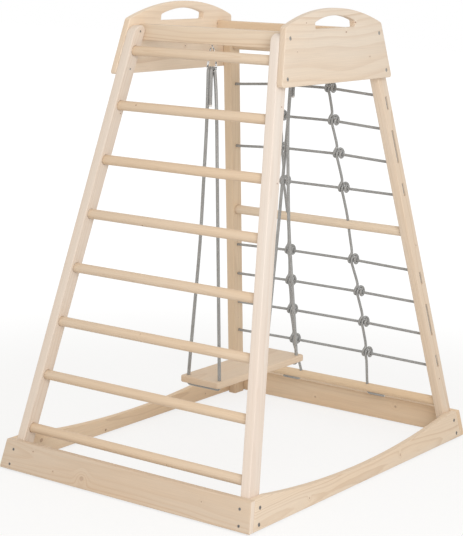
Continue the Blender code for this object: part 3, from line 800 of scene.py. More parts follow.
def soften(route: Route, reach: float, step: float = 9.0) -> Route:
    """Round a route's corners with arcs that stay within a reach of each corner.

    Args:
        route: The points.
        reach: Longest stretch of a leg that an arc may take.
        step: Turn in degrees between two points of an arc.

    Returns:
        The points of the smooth route.
    """
    smooth = [route[0]]
    for before, here, after in zip(route, route[1:], route[2:]):
        back, ahead = before - here, after - here
        turn = math.degrees(math.pi - back.angle(ahead))
        if turn < 1.0:
            smooth.append(here)
            continue
        entry = here + back * min(0.5, reach / back.length)
        leave = here + ahead * min(0.5, reach / ahead.length)
        count = max(2, math.ceil(turn / step))
        for k in range(count + 1):
            t = k / count
            smooth.append(entry * (1 - t) ** 2 + here * 2 * t * (1 - t) + leave * t * t)
    smooth.append(route[-1])
    kept = [smooth[0]]
    for point in smooth[1:]:
        if (point - kept[-1]).length > 1e-5:
            kept.append(point)
    return kept


def sweep(route: Route, radius: float, sides: int = 20, soft_end: float = 0.0,
          tip: float = 0.0) -> Mesh:
    """Sweep a round section along a route, with a UV map round and along it in metres.

    Args:
        route: The points that its middle follows.
        radius: Radius of the section.
        sides: Number of sides of the section.
        soft_end: How far the ends draw in to a smaller rim.
        tip: Length of the sealed ends.

    Returns:
        The closed mesh.
    """
    rim_scale = (0.72, 0.72, 0.72)
    bm = bmesh.new()
    around, run, cut = [bm.verts.layers.float.new(name) for name in ("around", "run", "cut")]
    stations = list(route)
    for place in (tip + 0.0005 if tip else 0.0, tip, soft_end):
        if place:
            stations.insert(1, route[0] + (route[1] - route[0]).normalized() * place)
            stations.insert(-1, route[-1] + (route[-2] - route[-1]).normalized() * place)
    tangents = [(b - a).normalized() for a, b in zip(stations, stations[1:])]
    heading = [tangents[0]] + [(a + b).normalized() for a, b in zip(tangents, tangents[1:])]
    heading.append(tangents[-1])
    turn = heading[0].to_track_quat("Z", "Y")
    ring = bmesh.ops.create_circle(bm, segments=sides, radius=radius, cap_ends=False)["verts"]
    for index, vert in enumerate(ring):
        vert[around] = index / sides
    placed = Matrix.Translation(stations[0]) @ turn.to_matrix().to_4x4()
    bmesh.ops.transform(bm, matrix=placed, verts=ring)
    first_edges = edges = list(bm.edges)
    length = 0.0
    for index in range(1, len(stations)):
        grown = bmesh.ops.extrude_edge_only(bm, edges=edges)["geom"]
        ring = only(grown, Vert)
        edges = [e for e in only(grown, Edge) if all(v in ring for v in e.verts)]
        turn = heading[index - 1].rotation_difference(heading[index]) @ turn
        goal = Matrix.Translation(stations[index]) @ turn.to_matrix().to_4x4()
        bmesh.ops.transform(bm, matrix=goal @ placed.inverted(), verts=ring)
        placed = goal
        length += (stations[index] - stations[index - 1]).length
        for vert in ring:
            vert[run] = length
    caps = [bmesh.ops.contextual_create(bm, geom=rim)["faces"][0] for rim in (first_edges, edges)]
    for vert in bm.verts:
        if vert[run] < tip + 1e-5 or vert[run] > length - tip - 1e-5:
            vert[cut] = 1.0
    if soft_end:
        for cap, centre in zip(caps, (stations[0], stations[-1])):
            bmesh.ops.scale(bm, verts=cap.verts, vec=rim_scale, space=Matrix.Translation(-centre))
    chart = bm.loops.layers.uv.new("UVMap")
    for face in bm.faces:
        turns = [loop.vert[around] for loop in face.loops]
        wraps = max(turns) - min(turns) > 0.5 and face not in caps
        for loop, u in zip(face.loops, turns):
            loop[chart].uv = (u + 1.0 if wraps and u < 0.5 else u, loop.vert[run])
    bmesh.ops.recalc_face_normals(bm, faces=bm.faces)
    return bm


def arc(centre: Vector, radius: float, start: float, stop: float, across: Vector,
        steps: int) -> Route:
    """Give the points of an upright arc.

    Args:
        centre: Its centre.
        radius: Its radius.
        start: Angle of its first point, in degrees from across towards Z.
        stop: Angle of its last point.
        across: Level direction in its plane.
        steps: Number of stretches.

    Returns:
        The points.
    """
    angles = [math.radians(start + (stop - start) * k / steps) for k in range(steps + 1)]
    return [centre + radius * (math.cos(a) * across + math.sin(a) * Z_AXIS) for a in angles]


def to_mesh(bm: Mesh, name: str) -> bpy.types.Mesh:
    """Turn an editable mesh, which is freed, into mesh data.

    Args:
        bm: The editable mesh.
        name: Name of the data.

    Returns:
        The mesh data.
    """
    mesh = bpy.data.meshes.new(name)
    bm.to_mesh(mesh)
    bm.free()
    return mesh


def add_object(name: str, data: bpy.types.ID) -> bpy.types.Object:
    """Put data in the scene as an object.

    Args:
        name: Name of the object.
        data: A mesh, a lamp or a camera.

    Returns:
        The object.
    """
    holder = bpy.data.objects.new(name, data)
    bpy.context.scene.collection.objects.link(holder)
    return holder


def join(bm: Mesh, part: Mesh) -> None:
    """Add a part's faces to a mesh, and free the part.

    Args:
        bm: The mesh.
        part: The part.
    """
    mesh = to_mesh(part, "join")
    bm.from_mesh(mesh)
    bpy.data.meshes.remove(mesh)


def carve(bm: Mesh, cutters: list[Mesh]) -> Mesh:
    """Cut solids out of a solid.

    Args:
        bm: The solid, which is freed.
        cutters: The solids to cut out, which are freed.

    Returns:
        The cut solid.
    """
    helpers = [add_object(f"carving_{index}", to_mesh(solid, f"carving_{index}"))
               for index, solid in enumerate([bm] + cutters)]
    group = bpy.data.collections.new("carving")
    for helper in helpers[1:]:
        group.objects.link(helper)
    change = helpers[0].modifiers.new("carve", "BOOLEAN")
    change.operation = "DIFFERENCE"
    change.solver = "EXACT"
    change.operand_type = "COLLECTION"
    change.collection = group
    bpy.context.view_layer.update()
    shaped = helpers[0].evaluated_get(bpy.context.evaluated_depsgraph_get())
    result = bmesh.new()
    result.from_mesh(shaped.to_mesh())
    for helper in helpers:
        bpy.data.objects.remove(helper, do_unlink=True)
    bpy.data.collections.remove(group)
    return result


def add_piece(bm: Mesh, node: str, material: Material, body: Body = Body.FRAME,
              smooth_below: float = 32.0) -> None:
    """Turn a mesh into a finished piece that stands for a CAD node.

    Args:
        bm: The shape, in the tower's own directions. It is freed.
        node: The CAD node that it replaces and hides.
        material: Its finish.
        body: The body it moves with.
        smooth_below: Edges flatter than this angle, in degrees, are shaded smooth.
    """
    mesh = to_mesh(bm, node + "_look")
    mesh.shade_smooth()
    mesh.set_sharp_from_angle(angle=math.radians(smooth_below))
    mesh.materials.clear()
    mesh.materials.append(material)
    piece = add_object(node + "_look", mesh)
    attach(piece, body.value)
    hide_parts(node)
    LOG.info("made %s with %d faces", piece.name, len(mesh.polygons))


def crossbar(end: End, z: float) -> Mesh:
    """Make a round bar across one end, sunk into both legs.

    Args:
        end: The end.
        z: Height of the bar.

    Returns:
        The closed mesh.
    """
    reach = SIZES.inner_width(z) + SIZES.bar_sink - SIZES.gap
    side_end = Vector((reach, end.value * SIZES.leg_middle_y(z), z))
    return rod(side_end * Vector((-1, 1, 1)), side_end, SIZES.bar_radius, SIZES.bar_sides,
               SIZES.bar_edge)


def crossbar_hole(end: End, side: Side, z: float) -> Mesh:
    """Make the blind hole in one leg that a round bar sits in.

    Args:
        end: The leg's end.
        side: The leg's side.
        z: Height of the bar.

    Returns:
        The cutter.
    """
    y = end.value * SIZES.leg_middle_y(z)
    mouth, floor = [Vector((side.value * (SIZES.inner_width(z) + deep), y, z))
                    for deep in (-SIZES.hole_over, SIZES.bar_sink)]
    return rod(mouth, floor, SIZES.bar_radius + SIZES.bar_play, SIZES.bar_sides)


# Sub-assemblies


@dataclass
class Fasteners:
    """Screws and bolts with hexagon sockets, and the holes that they need."""

    wide_head: float = 0.0060
    board_head: float = 0.0044
    head_thick: float = 0.0018
    head_sides: int = 24
    shank_radius: float = 0.0026
    sleeve_radius: float = 0.0036
    sleeve_length: float = 0.008
    socket_radius: float = 0.0021
    socket_depth: float = 0.0016
    recess: float = 0.0006
    play: float = 0.0004
    floor_play: float = 0.0002
    mouth: float = 0.004
    sleeve_mouth: float = 0.006
    shank_start: float = 0.9
    shank_short: float = 0.002
    base_heights: tuple[tuple[str, float], ...] = (("upper", 0.070), ("lower", 0.022))
    plate_heights: tuple[tuple[str, float], ...] = (("upper", 1.4177), ("lower", 1.2978))
    rail_length: float = 0.048
    board_length: float = 0.038

    def __post_init__(self) -> None:
        """Make the two kinds of steel."""
        self.dark = DARK_STEEL.dress("dark_steel")
        self.pale = PALE_STEEL.dress("pale_steel")

    def socket_head(self, radius: float, place: Matrix, thick: float) -> Mesh:
        """Make a round head with a hexagon socket.

        Args:
            radius: Its radius.
            place: Placement of its face, which looks along Z.
            thick: Its thickness.

        Returns:
            The closed mesh.
        """
        bm = bmesh.new()
        disc = bmesh.ops.create_circle(bm, segments=self.head_sides, radius=radius,
                                       cap_ends=True)["verts"]
        top = disc[0].link_faces[0]
        bmesh.ops.inset_individual(bm, faces=[top], thickness=radius - self.socket_radius)
        for vert in top.verts:
            flat = math.atan2(vert.co.y, vert.co.x) % (math.pi / 3) - math.pi / 6
            reach = self.socket_radius * math.cos(math.pi / 6) / math.cos(flat)
            vert.co = vert.co.normalized() * reach
        well = bmesh.ops.extrude_face_region(bm, geom=[top])["geom"]
        bmesh.ops.translate(bm, verts=only(well, Vert), vec=(0, 0, -self.socket_depth))
        bmesh.ops.delete(bm, geom=[top], context="FACES_ONLY")
        rim = [e for e in bm.edges if e.is_boundary and all(v in disc for v in e.verts)]
        lower = only(bmesh.ops.extrude_edge_only(bm, edges=rim)["geom"], Vert)
        bmesh.ops.translate(bm, verts=lower, vec=(0, 0, -thick))
        bmesh.ops.contextual_create(bm, geom=[e for e in bm.edges if e.is_boundary])
        move(bm, place)
        return bm

    def make(self, name: str, face: Vector, outward: Vector, length: float,
             sleeve: bool = False) -> Mesh:
        """Add one screw or bolt.

        Args:
            name: Name of the CAD node.
            face: Where its axis meets the wood's face.
            outward: The direction that its head looks.
            length: Distance from the face to its end.
            sleeve: True for a bolt with a sleeve nut that shows at its far end.

        Returns:
            The cutter for the hole that its head sits in.
        """
        top = face - outward * self.recess
        head = self.board_head if name.startswith("board") else self.wide_head
        bm = self.socket_head(head, facing(top, outward), self.head_thick)
        join(bm, rod(top - outward * self.head_thick * self.shank_start,
                     face - outward * (length - self.shank_short), self.shank_radius, 20))
        if sleeve:
            tail = facing(face - outward * (length - self.recess), -outward)
            join(bm, self.socket_head(self.sleeve_radius, tail, self.sleeve_length))
        add_piece(bm, name, self.pale if sleeve else self.dark)
        return rod(face + outward * self.mouth,
                   top - outward * (self.head_thick + self.floor_play), head + self.play, 28)

    def side_spot(self, end: End, side: Side, z: float) -> Vector:
        """Where a leg's middle plane meets a side board's outer face, at a height."""
        return Vector((side.value * SIZES.outer_width(z), end.value * SIZES.leg_middle_y(z), z))

    def build(self, cutters: Cutters) -> None:
        """Build every screw and bolt.

        Args:
            cutters: Cutters for each wooden piece, which the holes are added to.
        """
        bolt_length = SIZES.board + (SIZES.leg_x + SIZES.gap) * math.cos(SIZES.tilt_x)
        for end, side in LEGS:
            corner = tag(end, side)
            out_x = Vector((side.value * math.cos(SIZES.tilt_x), 0, math.sin(SIZES.tilt_x)))
            out_y = Vector((0, end.value * math.cos(SIZES.tilt_y), math.sin(SIZES.tilt_y)))
            for level, z in self.base_heights:
                spot = self.side_spot(end, side, z)
                hole = self.make(f"rail_screw_{corner}_{level}", spot, out_x, self.rail_length)
                cutters[f"base_rail_{tag(side)}"].append(hole)
                spot = Vector((side.value * (SIZES.half_width(z) - SIZES.leg_x / 2),
                               end.value * (SIZES.half_depth(z) + SIZES.gap + SIZES.board_y), z))
                hole = self.make(f"board_screw_{corner}_{level}", spot, out_y, self.board_length)
                cutters[f"base_board_{tag(end)}"].append(hole)
            for level, z in self.plate_heights:
                spot = self.side_spot(end, side, z)
                hole = self.make(f"plate_bolt_{corner}_{level}", spot, out_x, bolt_length, True)
                cutters[f"side_plate_{tag(side)}"].append(hole)
                tail = spot - out_x * bolt_length
                cutters[f"leg_{corner}"].append(
                    rod(tail - out_x * self.mouth, tail + out_x * self.sleeve_mouth,
                        self.sleeve_radius + self.play, 24))


@dataclass
class Frame:
    """Legs, base and top: everything sawn from boards."""

    base_bottom: float = 0.005
    base_top: float = 0.098
    rail_waist: float = 0.057
    rail_end_flat: float = 0.565
    rail_middle: float = 0.045
    plate_bottom: float = 1.273
    plate_shoulder: float = 1.451
    plate_apex: float = 1.5025
    plate_corner: float = 0.010
    plate_middle: tuple[float, float] = (0.312, 1.388)
    slot_half: float = 0.117
    slot_bottom: float = 1.441
    slot_side: float = 1.4615
    slot_apex: float = 1.4803
    slot_corner: float = 0.006
    slot_over: float = 0.003
    beam_middle: tuple[float, float] = (0.23, 1.408)
    edge: float = 0.0030
    leg_edge: float = 0.0036
    leg_crest: float = 0.0008

    def leg(self, end: End, side: Side, holes: list[Mesh]) -> None:
        """Build one leg.

        Args:
            end: The end that it stands at.
            side: The side that it stands on.
            holes: What is cut out of it.
        """
        half = SIZES.leg_height / 2
        bm = block((SIZES.leg_x, SIZES.leg_y, SIZES.leg_height), Vector((0, 0, half)))
        top = [e for e in bm.edges if all(v.co.z > half for v in e.verts)
               and abs(e.verts[0].co.x - e.verts[1].co.x) > 0.001]
        bevel(bm, top, SIZES.leg_y / 2 - self.leg_crest, 14)
        bevel(bm, rim_edges(bm, 0), self.leg_edge, 4)
        foot = Vector((side.value * (SIZES.half_width_base - SIZES.leg_x / 2),
                       end.value * (SIZES.half_depth_base - SIZES.leg_y / 2), 0))
        move(bm, Matrix.Translation(foot) @ SIZES.lean(side.value, end.value))
        centre = Vector((side.value * SIZES.half_width(half),
                         end.value * SIZES.leg_middle_y(half), half))
        grain = Vector((-side.value * SIZES.lean_x, -end.value * SIZES.lean_y, 1))
        name = f"leg_{tag(end, side)}"
        seed = 11 + end.value + 3 * side.value
        knots = some_knots(seed, half, SIZES.leg_y / 2, 2)
        material = LEG_LOOKS[end, side].dress(name, Lay(centre, grain, Y_AXIS), knots, seed)
        add_piece(carve(bm, holes), name, material)

    def outline(self, half: Callable[[float], float], low: float, high: float,
                radius: float = 0.0, rise: float = 0.0, hollow: tuple[Corner, ...] = ()
                ) -> list[Corner]:
        """Outline of a board that narrows upwards.

        Args:
            half: Gives half its length at a height.
            low: Height of its lower edge.
            high: Height of its upper corners.
            radius: Rounding of its corners.
            rise: Rise of its arched upper edge.
            hollow: Corners between the upper ones.

        Returns:
            Its corners, anticlockwise.
        """
        return [Corner(-half(low), low, radius), Corner(half(low), low, radius),
                Corner(half(high), high, radius, rise), *hollow, Corner(-half(high), high, radius)]

    def stand(self, place: End | Side, inner: float, thick: float) -> Matrix:
        """Placement that stands a flat outline up as a leaning board.

        Args:
            place: The end or the side that the board belongs to.
            inner: Distance of its nearer face from the middle, at the floor.
            thick: Its thickness along X or Y.

        Returns:
            The placement.
        """
        near = inner if place.value > 0 else -(inner + thick)
        if isinstance(place, End):
            axes = Matrix(((1, 0, 0, 0), (0, 0, 1, near), (0, 1, 0, 0), (0, 0, 0, 1)))
            return SIZES.lean(0, place.value) @ axes
        axes = Matrix(((0, 0, 1, near), (1, 0, 0, 0), (0, 1, 0, 0), (0, 0, 0, 1)))
        return SIZES.lean(place.value, 0) @ axes

    def board(self, kind: str, place: End | Side, corners: list[Corner],
              layer: tuple[float, float], middle: tuple[float, float], seed: int,
              holes: list[Mesh]) -> None:
        """Saw one board, ease its edges, stand it in its place and finish it.

        Args:
            kind: Start of its name.
            place: The end or the side that it belongs to.
            corners: Its outline.
            layer: Distance of its nearer face from the middle, and its thickness.
            middle: Distance of its log's middle from the tower's, and its height.
            seed: Number that picks its pattern, together with the place.
            holes: What is cut out of it.
        """
        bm = outline_face(corners)
        thicken(bm, layer[1])
        ease(bm, self.edge)
        move(bm, self.stand(place, *layer))
        bmesh.ops.recalc_face_normals(bm, faces=bm.faces)
        if holes:
            bm = carve(bm, holes)
        along, out, lean = (0, 1, SIZES.lean_y) if isinstance(place, End) else (1, 0, SIZES.lean_x)
        centre, across = Vector((0, 0, middle[1])), Z_AXIS.copy()
        centre[out] = place.value * middle[0]
        across[out] = -place.value * lean
        lay = Lay(centre, (X_AXIS, Y_AXIS)[along], across)
        name = f"{kind}_{tag(place)}"
        finish, marks = BOARD_LOOKS[name]
        knots = []
        for run, height, *rest in marks:
            spot = Vector((0, 0, height))
            spot[along], spot[out] = run, centre[out]
            knots.append(lay.knot_at(spot, *rest))
        add_piece(bm, name, finish.dress(name, lay, knots, seed + place.value))

    def widen(self, bm: Mesh, verts: list[Vert], spread: float, was: float) -> None:
        """Scale a ring of the slot's cutter.

        Args:
            bm: The cutter.
            verts: The ring.
            spread: How far it should stand outside the slot.
            was: How far it stands outside now.
        """
        half_height = (self.slot_apex - self.slot_bottom) / 2
        middle = Vector((0, self.slot_bottom + half_height, 0))
        grow = ((self.slot_half + spread) / (self.slot_half + was),
                (half_height + spread) / (half_height + was), 1)
        bmesh.ops.scale(bm, verts=verts, vec=grow, space=Matrix.Translation(-middle))

    def slot_cutter(self, side: Side) -> Mesh:
        """Make the hand slot, a little wider at both mouths, where its edge is rounded.

        Args:
            side: The side plate's side.

        Returns:
            The cutter.
        """
        half, low, high = self.slot_half, self.slot_bottom, self.slot_side
        bm = outline_face(self.outline(lambda z: half, low, high, self.slot_corner,
                                       self.slot_apex - high))
        thick, radius = SIZES.board_x, self.edge
        angles = [math.radians(a) for a in (0, 22, 45, 67, 90)]
        depths = [radius * (1 - math.cos(a)) for a in angles]
        flares = [radius * (1 - math.sin(a)) for a in angles]
        levels = [-self.slot_over, *depths, *[thick - d for d in reversed(depths)],
                  thick + self.slot_over]
        spreads = [radius, *flares, *reversed(flares), radius]
        bmesh.ops.translate(bm, verts=bm.verts, vec=(0, 0, levels[0]))
        self.widen(bm, bm.verts[:], spreads[0], 0.0)
        last = bm.faces[:]
        for index in range(1, len(levels)):
            grown = bmesh.ops.extrude_face_region(bm, geom=last)["geom"]
            if index > 1:
                bmesh.ops.delete(bm, geom=last, context="FACES_ONLY")
            last, raised = only(grown, Face), only(grown, Vert)
            bmesh.ops.translate(bm, verts=raised, vec=(0, 0, levels[index] - levels[index - 1]))
            self.widen(bm, raised, spreads[index], spreads[index - 1])
        move(bm, self.stand(side, SIZES.half_width_base + SIZES.gap, thick))
        bmesh.ops.recalc_face_normals(bm, faces=bm.faces)
        return bm

    def build(self, cutters: Cutters) -> None:
        """Build the whole frame.

        Args:
            cutters: What is cut out of each piece.
        """
        low, high = self.base_bottom, self.base_top
        side_layer = (SIZES.half_width_base + SIZES.gap, SIZES.board_x)
        end_layer = (SIZES.half_depth_base + SIZES.gap, SIZES.board_y)
        beam_layer = (SIZES.half_depth_base - SIZES.leg_y - SIZES.gap - SIZES.beam_y,
                      SIZES.beam_y)
        for end, side in LEGS:
            self.leg(end, side, cutters[f"leg_{tag(end, side)}"])
        corners = self.outline(SIZES.outer_width, low, high)
        middle = (low + high) / 2
        reach = SIZES.half_depth(middle) + SIZES.board / 2
        for end in End:
            self.board("base_board", end, corners, end_layer, (reach, middle), 30,
                       cutters[f"base_board_{tag(end)}"])
        hollow = (Corner(self.rail_end_flat, high, rise=-(high - self.rail_waist)),
                  Corner(-self.rail_end_flat, high))
        corners = self.outline(SIZES.half_depth, low, high, hollow=hollow)
        reach = SIZES.half_width(self.rail_middle) + SIZES.board / 2
        for side in Side:
            self.board("base_rail", side, corners, side_layer, (reach, self.rail_middle), 40,
                       cutters[f"base_rail_{tag(side)}"])
        corners = self.outline(SIZES.half_depth, self.plate_bottom, self.plate_shoulder,
                               self.plate_corner, self.plate_apex - self.plate_shoulder)
        for side in Side:
            self.board("side_plate", side, corners, side_layer, self.plate_middle, 50,
                       [self.slot_cutter(side)] + cutters[f"side_plate_{tag(side)}"])
        corners = self.outline(SIZES.half_width, SIZES.beam_bottom, SIZES.beam_top)
        for end in End:
            self.board("top_beam", end, corners, beam_layer, self.beam_middle, 60, [])


@dataclass
class Ladder:
    """Round rungs, let into the front legs."""

    first_seed: int = 70

    def heights(self) -> list[float]:
        """Heights of the rungs, from the top down."""
        return [SIZES.rung_top - SIZES.rung_pitch * index for index in range(SIZES.rung_count)]

    def cut(self, cutters: Cutters) -> None:
        """Cut the holes for the rungs into the front legs.

        Args:
            cutters: Cutters for each wooden piece, which the holes are added to.
        """
        for side in Side:
            cutters[f"leg_{tag(End.FRONT, side)}"] += [
                crossbar_hole(End.FRONT, side, z) for z in self.heights()]

    def build(self) -> None:
        """Build the rungs."""
        for index, z in enumerate(self.heights()):
            name, seed = f"rung_{index + 1}", self.first_seed + index
            reach = SIZES.inner_width(z) + SIZES.bar_sink - SIZES.gap
            knots = some_knots(seed, reach, SIZES.bar_radius, index % 2)
            lay = Lay(Vector((0, -SIZES.leg_middle_y(z), z)), X_AXIS, Z_AXIS)
            add_piece(crossbar(End.FRONT, z), name, DOWEL.dress(name, lay, knots, seed))


@dataclass
class Net:
    """Three round bars, two cross cords and two hitched upright cords.

    Rows are counted from the top in an upper and a lower section. The hitch is given by how far
    along the row the cord is, its angle about the row and its distance from it, with lengths in
    cord diameters.
    """

    row_holes: tuple[tuple[float, ...], ...] = (
        (1.210, 1.0975, 0.985, 0.8725), (0.6085, 0.4938, 0.379, 0.2643))
    row_rise: tuple[tuple[float, ...], ...] = (
        (0.012, 0.0125, 0.010, 0.002), (0.0075, 0.005, 0.0055, 0.004))
    column_at: tuple[tuple[float, ...], ...] = (
        (0.1057, 0.1060, 0.1130, 0.1205), (0.1320, 0.1435, 0.1510, 0.1535))
    column_top: float = 0.105
    column_middle: float = 0.126
    column_bottom: float = 0.142
    tuck: float = 0.044
    low_tuck: float = -0.002
    tuck_steps: tuple[tuple[float, float], ...] = (
        (0.075, 1.0), (0.030, 1.0), (0.0125, 1.0), (0.0080, 0.93), (0.0040, 0.72), (0.0014, 0.38))
    under_angle: float = 0.26
    clear: float = 0.026
    near: float = 0.012
    turn: float = 0.0060
    laid: float = 0.0070
    hole_play: float = 0.0011
    groove_play: float = 0.0008
    bore_play: float = 0.0009
    bed_play: float = 0.0010
    bend_reach: float = 0.004
    cord_reach: float = 0.03
    inner_lead: float = 0.006
    laid_band: float = 0.0045
    groove_over: float = 0.0005
    soft_end: float = 0.0012
    bars: tuple[tuple[str, float, PineFinish], ...] = (
        ("top", 1.349, DOWEL), ("middle", 0.745, MIDDLE_DOWEL), ("bottom", 0.1313, LOW_DOWEL))
    first_seed: int = 90
    hitch_route: tuple[tuple[float, float, float], ...] = (
        (-0.02, 4, 2.95), (-0.19, 20, 2.56), (-0.56, 43, 2.18),
        (-1.00, 72, 1.61), (-1.20, 114, 1.27), (-1.19, 156, 1.15), (-0.97, 197, 1.13),
        (-0.48, 240, 1.17), (0.27, 285, 1.17), (0.90, 330, 1.13), (1.16, 368, 1.12),
        (1.26, 406, 1.12), (1.27, 444, 1.12), (1.23, 485, 1.14), (1.17, 530, 1.26),
        (1.07, 576, 1.54), (0.90, 616, 1.95), (0.66, 645, 2.22), (0.40, 667, 2.23),
        (0.14, 693, 1.98), (0.00, 730, 1.53), (0.09, 780, 1.20), (-0.01, 821, 1.24),
        (0.00, 857, 1.70), (0.00, 881, 2.51))

    def __post_init__(self) -> None:
        """Work out the net's own directions and draw the cords' routes."""
        tilt, under = SIZES.tilt_y, self.under_angle
        self.up = Vector((0, -math.sin(tilt), math.cos(tilt)))
        self.forward = Vector((0, -math.cos(tilt), -math.sin(tilt)))
        self.under = Vector((0, -math.sin(under), -math.cos(under)))
        self.turns: dict[Side, list[Route]] = {side: [] for side in Side}
        self.cross_routes = [self.cross_cord(section) for section in (0, 1)]
        self.columns = {side: self.column(side.value) for side in Side}

    def face_point(self, side: int, z: float, depth: float) -> Vector:
        """A point in the net's plane, some depth below a back leg's outer face."""
        return Vector((side * (SIZES.half_width(z) - depth), SIZES.leg_middle_y(z), z))

    def bend(self, side: int, z: float, way: int) -> Route:
        """Draw the bend from a row's hole into the groove.

        Args:
            side: 1 or -1 for the right or left leg.
            z: Height of the hole.
            way: 1 or -1 for a bend upwards or downwards.

        Returns:
            The points, from the leg's inner face to the groove.
        """
        points = [self.face_point(side, z, SIZES.leg_x + self.inner_lead)]
        for angle in (math.radians(degrees) for degrees in (0, 45, 90)):
            points.append(self.face_point(side, z + way * self.turn * (1 - math.cos(angle)),
                                          self.laid + self.turn * (1 - math.sin(angle))))
        return points

    def crossing(self, side: int, row: int, section: int) -> Vector:
        """Where a column crosses a row."""
        z = self.row_holes[section][row] + self.row_rise[section][row]
        return Vector((side * self.column_at[section][row], SIZES.leg_middle_y(z), z))

    def cross_cord(self, section: int) -> Route:
        """Draw a cross cord, laid to and fro through the legs.

        Args:
            section: 0 for the upper one, 1 for the lower one.

        Returns:
            Its route.
        """
        rows = self.row_holes[section]
        first = [self.face_point(1, rows[0] - self.tuck, self.laid)]
        first += self.bend(1, rows[0], -1)[::-1]
        self.turns[Side.RIGHT].append(first)
        route = list(first)
        side = 1
        for row, z in enumerate(rows):
            route += [self.crossing(side, row, section), self.crossing(-side, row, section)]
            side = -side
            if row + 1 < len(rows):
                turn = self.bend(side, z, -1) + self.bend(side, rows[row + 1], 1)[::-1]
            else:
                turn = self.bend(side, z, 1)
                turn.append(self.face_point(side, z + self.tuck, self.laid))
            self.turns[Side(side)].append(turn)
            route += turn
        return route

    def hitch(self, at: Vector) -> Route:
        """Draw a column's turns about a row.

        Args:
            at: Where they cross.

        Returns:
            The points.
        """
        points = []
        for along, degrees, off in self.hitch_route:
            angle = math.radians(degrees)
            away = off * math.sin(angle) * self.forward + off * math.cos(angle) * self.up
            points.append(at + SIZES.cord * (Vector((along, 0, 0)) + away))
        return points

    def tucked(self, centre: Vector, side: int, way: Vector, inside: Vector,
               depth: float) -> Route:
        """Draw a cord's end in a bar's groove.

        Args:
            centre: Middle of the bar, where the cord passes it.
            side: 1 or -1 for an end laid to the right or left.
            way: Direction from the bar to the laid end.
            inside: Direction that the cord leaves the bar in.
            depth: How deep the laid end's middle is below the bar's face.

        Returns:
            The points, from the cord's end to the bar's middle.
        """
        lift = SIZES.bar_radius - depth
        laid = [centre + side * run * X_AXIS + way * lift * share
                for run, share in self.tuck_steps]
        return laid + [centre + inside * 0.003]

    def column(self, side: int) -> dict[str, Route]:
        """Draw an upright cord.

        Args:
            side: 1 or -1 for the right or left one.

        Returns:
            Its route, and its stretches through the three bars, by the bars' names.
        """
        top, middle, bottom = [
            Vector((side * x, SIZES.leg_middle_y(z), z)) for x, (_, z, _) in zip(
                (self.column_top, self.column_middle, self.column_bottom), self.bars)]
        start = self.tucked(top, side, self.up, -self.up, SIZES.groove_depth)
        start += [top - self.up * self.near, top - self.up * self.clear]
        through = [middle + self.up * self.clear, middle - self.up * self.clear]
        finish = [bottom + self.up * self.clear, bottom + self.up * self.near]
        finish += self.tucked(bottom, side, self.under, self.up, self.low_tuck)[::-1]
        route = list(start)
        for section in (0, 1):
            for row in range(len(self.row_holes[section])):
                route += self.hitch(self.crossing(side, row, section))
            route += (through, finish)[section]
        return {"route": route, "top": start, "middle": through, "bottom": finish}

    def cut(self, cutters: Cutters) -> None:
        """Cut holes and grooves for the cords, and holes for the bars, into the back legs.

        Args:
            cutters: Cutters for each wooden piece, which these are added to.
        """
        for side in Side:
            made = cutters[f"leg_{tag(End.BACK, side)}"]
            for turn in self.turns[side]:
                made.append(sweep(soften(turn, self.bend_reach), SIZES.cord / 2 + self.hole_play))
                outer = [p + Vector((side.value * self.laid, 0, 0)) for p in turn
                         if abs(p.x) > SIZES.half_width(p.z) - self.laid - self.laid_band]
                low, high = min(outer, key=lambda p: p.z), max(outer, key=lambda p: p.z)
                grow = (high - low).normalized() * self.groove_over
                made.append(sweep([low - grow, high + grow], SIZES.cord / 2 + self.groove_play))
            made += [crossbar_hole(End.BACK, side, z) for _, z, _ in self.bars]

    def bar_cutters(self, level: str) -> list[Mesh]:
        """Make the bores and grooves for the columns in one bar.

        Args:
            level: The bar's name.

        Returns:
            The cutters.
        """
        made = []
        for column in self.columns.values():
            stretch = column[level]
            made.append(sweep(soften(stretch, self.bend_reach), SIZES.cord / 2 + self.bore_play))
            if level != "middle":
                way, laid = ((self.up, stretch[:3]) if level == "top"
                             else (self.under, stretch[-3:]))
                made.append(sweep([p + way * SIZES.groove_depth for p in laid],
                                  SIZES.cord / 2 + self.bed_play))
        return made

    def build(self) -> None:
        """Build the bars and the cords."""
        cord = CordFinish().dress("net_cord", SIZES.cord)
        for index, (level, z, finish) in enumerate(self.bars):
            name = f"net_bar_{level}"
            lay = Lay(Vector((0, SIZES.leg_middle_y(z), z)), X_AXIS, Z_AXIS)
            material = finish.dress(name, lay, [], self.first_seed + index)
            add_piece(carve(crossbar(End.BACK, z), self.bar_cutters(level)), name, material)
        routes = dict(zip(("net_cord_upper", "net_cord_lower"), self.cross_routes))
        for side in Side:
            routes[f"net_column_{tag(side)}"] = self.columns[side]["route"]
        for name, route in routes.items():
            bm = sweep(soften(route, self.cord_reach), SIZES.cord / 2, soft_end=self.soft_end)
            add_piece(bm, name, cord, smooth_below=50)


